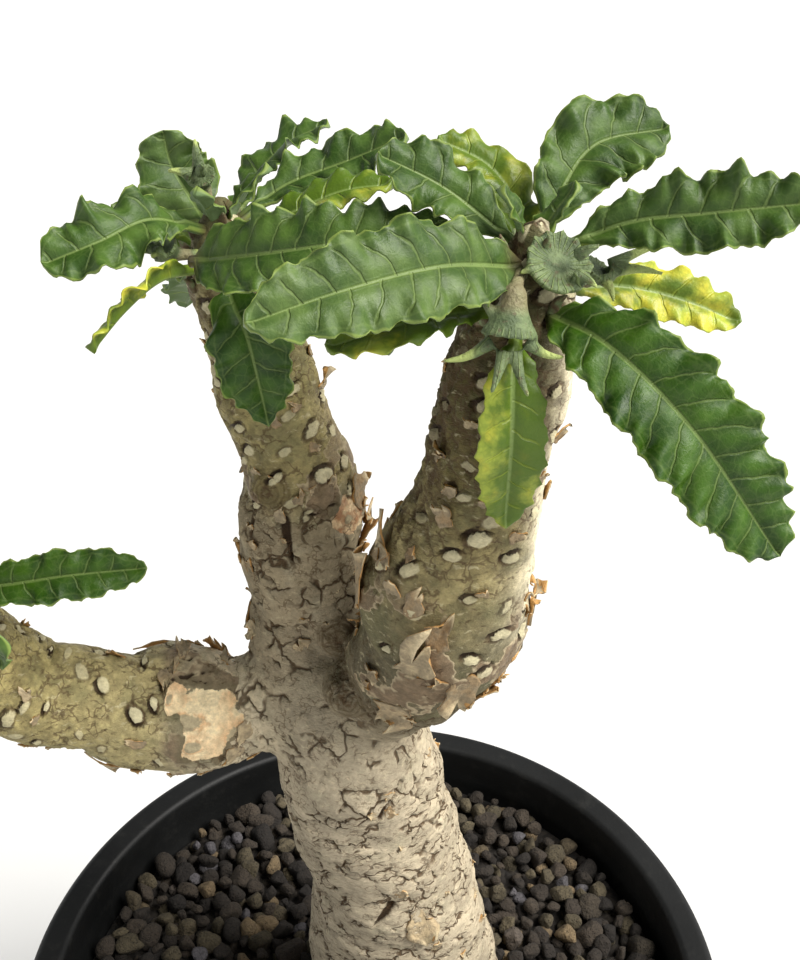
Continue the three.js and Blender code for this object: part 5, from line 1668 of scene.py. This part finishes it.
def make_pot():
    band = POT_HEIGHT - RIM_DEPTH
    inside = RIM_RADIUS - RIM_BREADTH
    wall = inner_radius(band)
    foot_slope = (wall + WALL - FOOT_RADIUS) / band
    profile = [(0, 0), (FOOT_RADIUS * 0.4, 0), (FOOT_RADIUS * 0.8, 0)]
    profile += arc((FOOT_RADIUS - FOOT_ROUND, FOOT_ROUND), FOOT_ROUND, -90, -6, 6)
    profile += [(FOOT_RADIUS + foot_slope * z, z) for z in np.linspace(6, band - 1.5, 9)]
    profile += arc((wall + WALL + STEP_ROUND, band - STEP_ROUND), STEP_ROUND, 180, 90, 5)
    profile += arc((RIM_RADIUS - BAND_ROUND, band + BAND_ROUND), BAND_ROUND, -90, 0, 5)
    profile += arc((RIM_RADIUS - RIM_ROUND, POT_HEIGHT - RIM_ROUND), RIM_ROUND, 0, 90, 8)
    profile += arc((inside + LIP_ROUND, POT_HEIGHT - 1.6), LIP_ROUND, 80, 180, 7)
    profile += [(inside - 0.05, POT_HEIGHT - 6), (inside - 0.3, band + 2.5)]
    profile += [(wall + 0.5, band + 0.6), (wall, band - 1)]
    profile += [(inner_radius(z), z) for z in np.linspace(band - 6, FLOOR + 4, 6)]
    profile += [(inner_radius(FLOOR) - 1, FLOOR), (FOOT_RADIUS * 0.5, FLOOR), (0, FLOOR)]
    pot = turned("pot_shell", profile, POT_SIDES)
    parts = []
    for angle in circle(DRAINS["count"]):
        x, y = DRAINS["ring"] * math.cos(angle), DRAINS["ring"] * math.sin(angle)
        parts.append(tube([[x, y, -3], [x, y, 1], [x, y, FLOOR + 3]], [DRAINS["radius"]] * 3, DRAIN_SIDES))
    pot = cut_by(pot, new_object("drains", *joined(parts), smooth=False))
    paint(pot.data, "rest", points_of(pot.data))
    return pot


def pot_look(nodes):
    rest = nodes.field("rest", vector=True)
    haze = nodes.noise(rest, 0.03, 4.0, 0.6)
    colour = nodes.blend(nodes.step(haze, 0.35, 0.7), POT_BLACK, POT_SLATE)
    dust = nodes.times(nodes.step(nodes.noise(rest, 0.22, 5.0, 0.7), 0.52, 0.75), 0.2)
    colour = nodes.blend(dust, colour, POT_DUST)
    scuff = nodes.noise(nodes.vector_math("MULTIPLY", rest, (0.12, 0.12, 1.4)), 1.0, 4.0, 0.7)
    colour = nodes.blend(nodes.step(scuff, 0.66, 0.74, 0.0, 0.2), colour, POT_DUST)
    grain = nodes.noise(rest, 1.3, 3.0, 0.6)
    return {
        "Base Color": colour,
        "Roughness": nodes.step(haze, 0.3, 0.7, 0.5, 0.66),
        "Normal": nodes.bump(nodes.plus(nodes.times(grain, 0.07), nodes.times(scuff, 0.05)), 0.7),
    }


# Stage

def make_camera():
    camera = bpy.data.objects.new("camera", bpy.data.cameras.new("camera"))
    camera.data.sensor_width = SENSOR_MM
    camera.data.lens = SENSOR_MM * FOCAL_PX / LONG_SIDE_PX
    camera.location = [value * MM for value in CAMERA_PLACE]
    camera.rotation_euler = (math.radians(90 - LOOKS_DOWN), 0, 0)
    bpy.context.scene.collection.objects.link(camera)
    bpy.context.scene.camera = camera


def floor_look(nodes):
    place = nodes.add("ShaderNodeNewGeometry", output="Position")
    tone = nodes.step(nodes.noise(place, 3.0, 3.0), 0.3, 0.7, 0.97, 1.0)
    return {"Base Color": nodes.darkened(FLOOR_WHITE, tone)}


def make_key_light():
    lamp = bpy.data.lights.new("key", "SUN")
    lamp.energy = KEY_POWER
    lamp.angle = math.radians(KEY_SPREAD)
    lamp.color = KEY_COLOUR
    holder = bpy.data.objects.new("key", lamp)
    holder.rotation_euler = (-Vector(KEY_FROM)).to_track_quat("-Z", "Y").to_euler()
    bpy.context.scene.collection.objects.link(holder)


def make_stage():
    angle = circle(FLOOR_SIDES)
    rim = np.column_stack([np.cos(angle), np.sin(angle), np.zeros(FLOOR_SIDES)]) * FLOOR_RADIUS
    floor = new_object("floor", rim, [range(FLOOR_SIDES)])
    glow = {"Emission_Color": FLOOR_WHITE, "Emission_Strength": FLOOR_GLOW}
    floor.data.materials.append(new_material("floor", floor_look, Roughness=0.9, **glow))
    world = bpy.data.worlds.new("studio")
    world.use_nodes = True
    background = world.node_tree.nodes["Background"]
    nodes = Nodes(world.node_tree)
    height = nodes.parts(nodes.add("ShaderNodeTexCoord", output="Generated"))[2]
    low = nodes.step(nodes.math("ABSOLUTE", height), *HORIZON_BAND)
    nodes.feed(background.inputs["Color"], WORLD_WHITE)
    nodes.feed(background.inputs["Strength"], nodes.lerp(low, WORLD_LIGHT, HORIZON_LIGHT))
    bpy.context.scene.world = world
    make_key_light()
    bpy.context.scene.view_settings.view_transform = "Standard"


stem = make_stem()
paint_bark(stem.data)
stem = relieved(stem, lambda nodes: bark_relief(nodes)["height"])
dressed(stem, new_material("bark", bark_look, Specular_IOR_Level=0.25), "bark", "stem")
dressed(make_flakes(), new_material("flake", flake_look, Roughness=0.8), "bark", "stem")
dressed(make_tip_scales(), new_material("scale", scale_look, Roughness=0.7), "bark", "stem")

leaf_looks = {
    "leaf_green": leaf_look(srgb(40, 66, 14), srgb(68, 94, 32)),
    "leaf_grey_green": leaf_look(srgb(50, 74, 26), srgb(78, 100, 46)),
    "leaf_dark_green": leaf_look(srgb(28, 58, 0), srgb(52, 84, 4)),
    "leaf_yellow": yellow_look,
}
leaf_materials = {
    slot: new_material(slot, look, Specular_IOR_Level=0.34)
    for slot, look in leaf_looks.items()
}
slots = {part["node"]: part["material_slot"] for part in frame["record"]["subparts"]}
for serial, (name, width, points, face, habit) in enumerate(LEAVES):
    leaf = make_leaf(name, width, points, face, habit, serial)
    dressed(leaf, leaf_materials[slots[name]], slots[name], name)

flower = new_material("flower", flower_look, Roughness=0.6)
for name, parts in FLOWERS.items():
    dressed(make_flower(name, parts), flower, "flower", name)

random = np.random.default_rng(5)
grain = new_material("grain", grain_look, Roughness=0.92)
dressed(make_filling(), new_material("bed", bed_look, Roughness=0.95), "gravel", "gravel")
for number, layer in enumerate(GRAIN_LAYERS):
    dressed(make_grains(f"gravel_grains_{number + 1}", layer, random), grain, "gravel", "gravel")
dressed(make_pot(), new_material("pot", pot_look, Specular_IOR_Level=0.3), "pot", "pot")

make_camera()
make_stage()
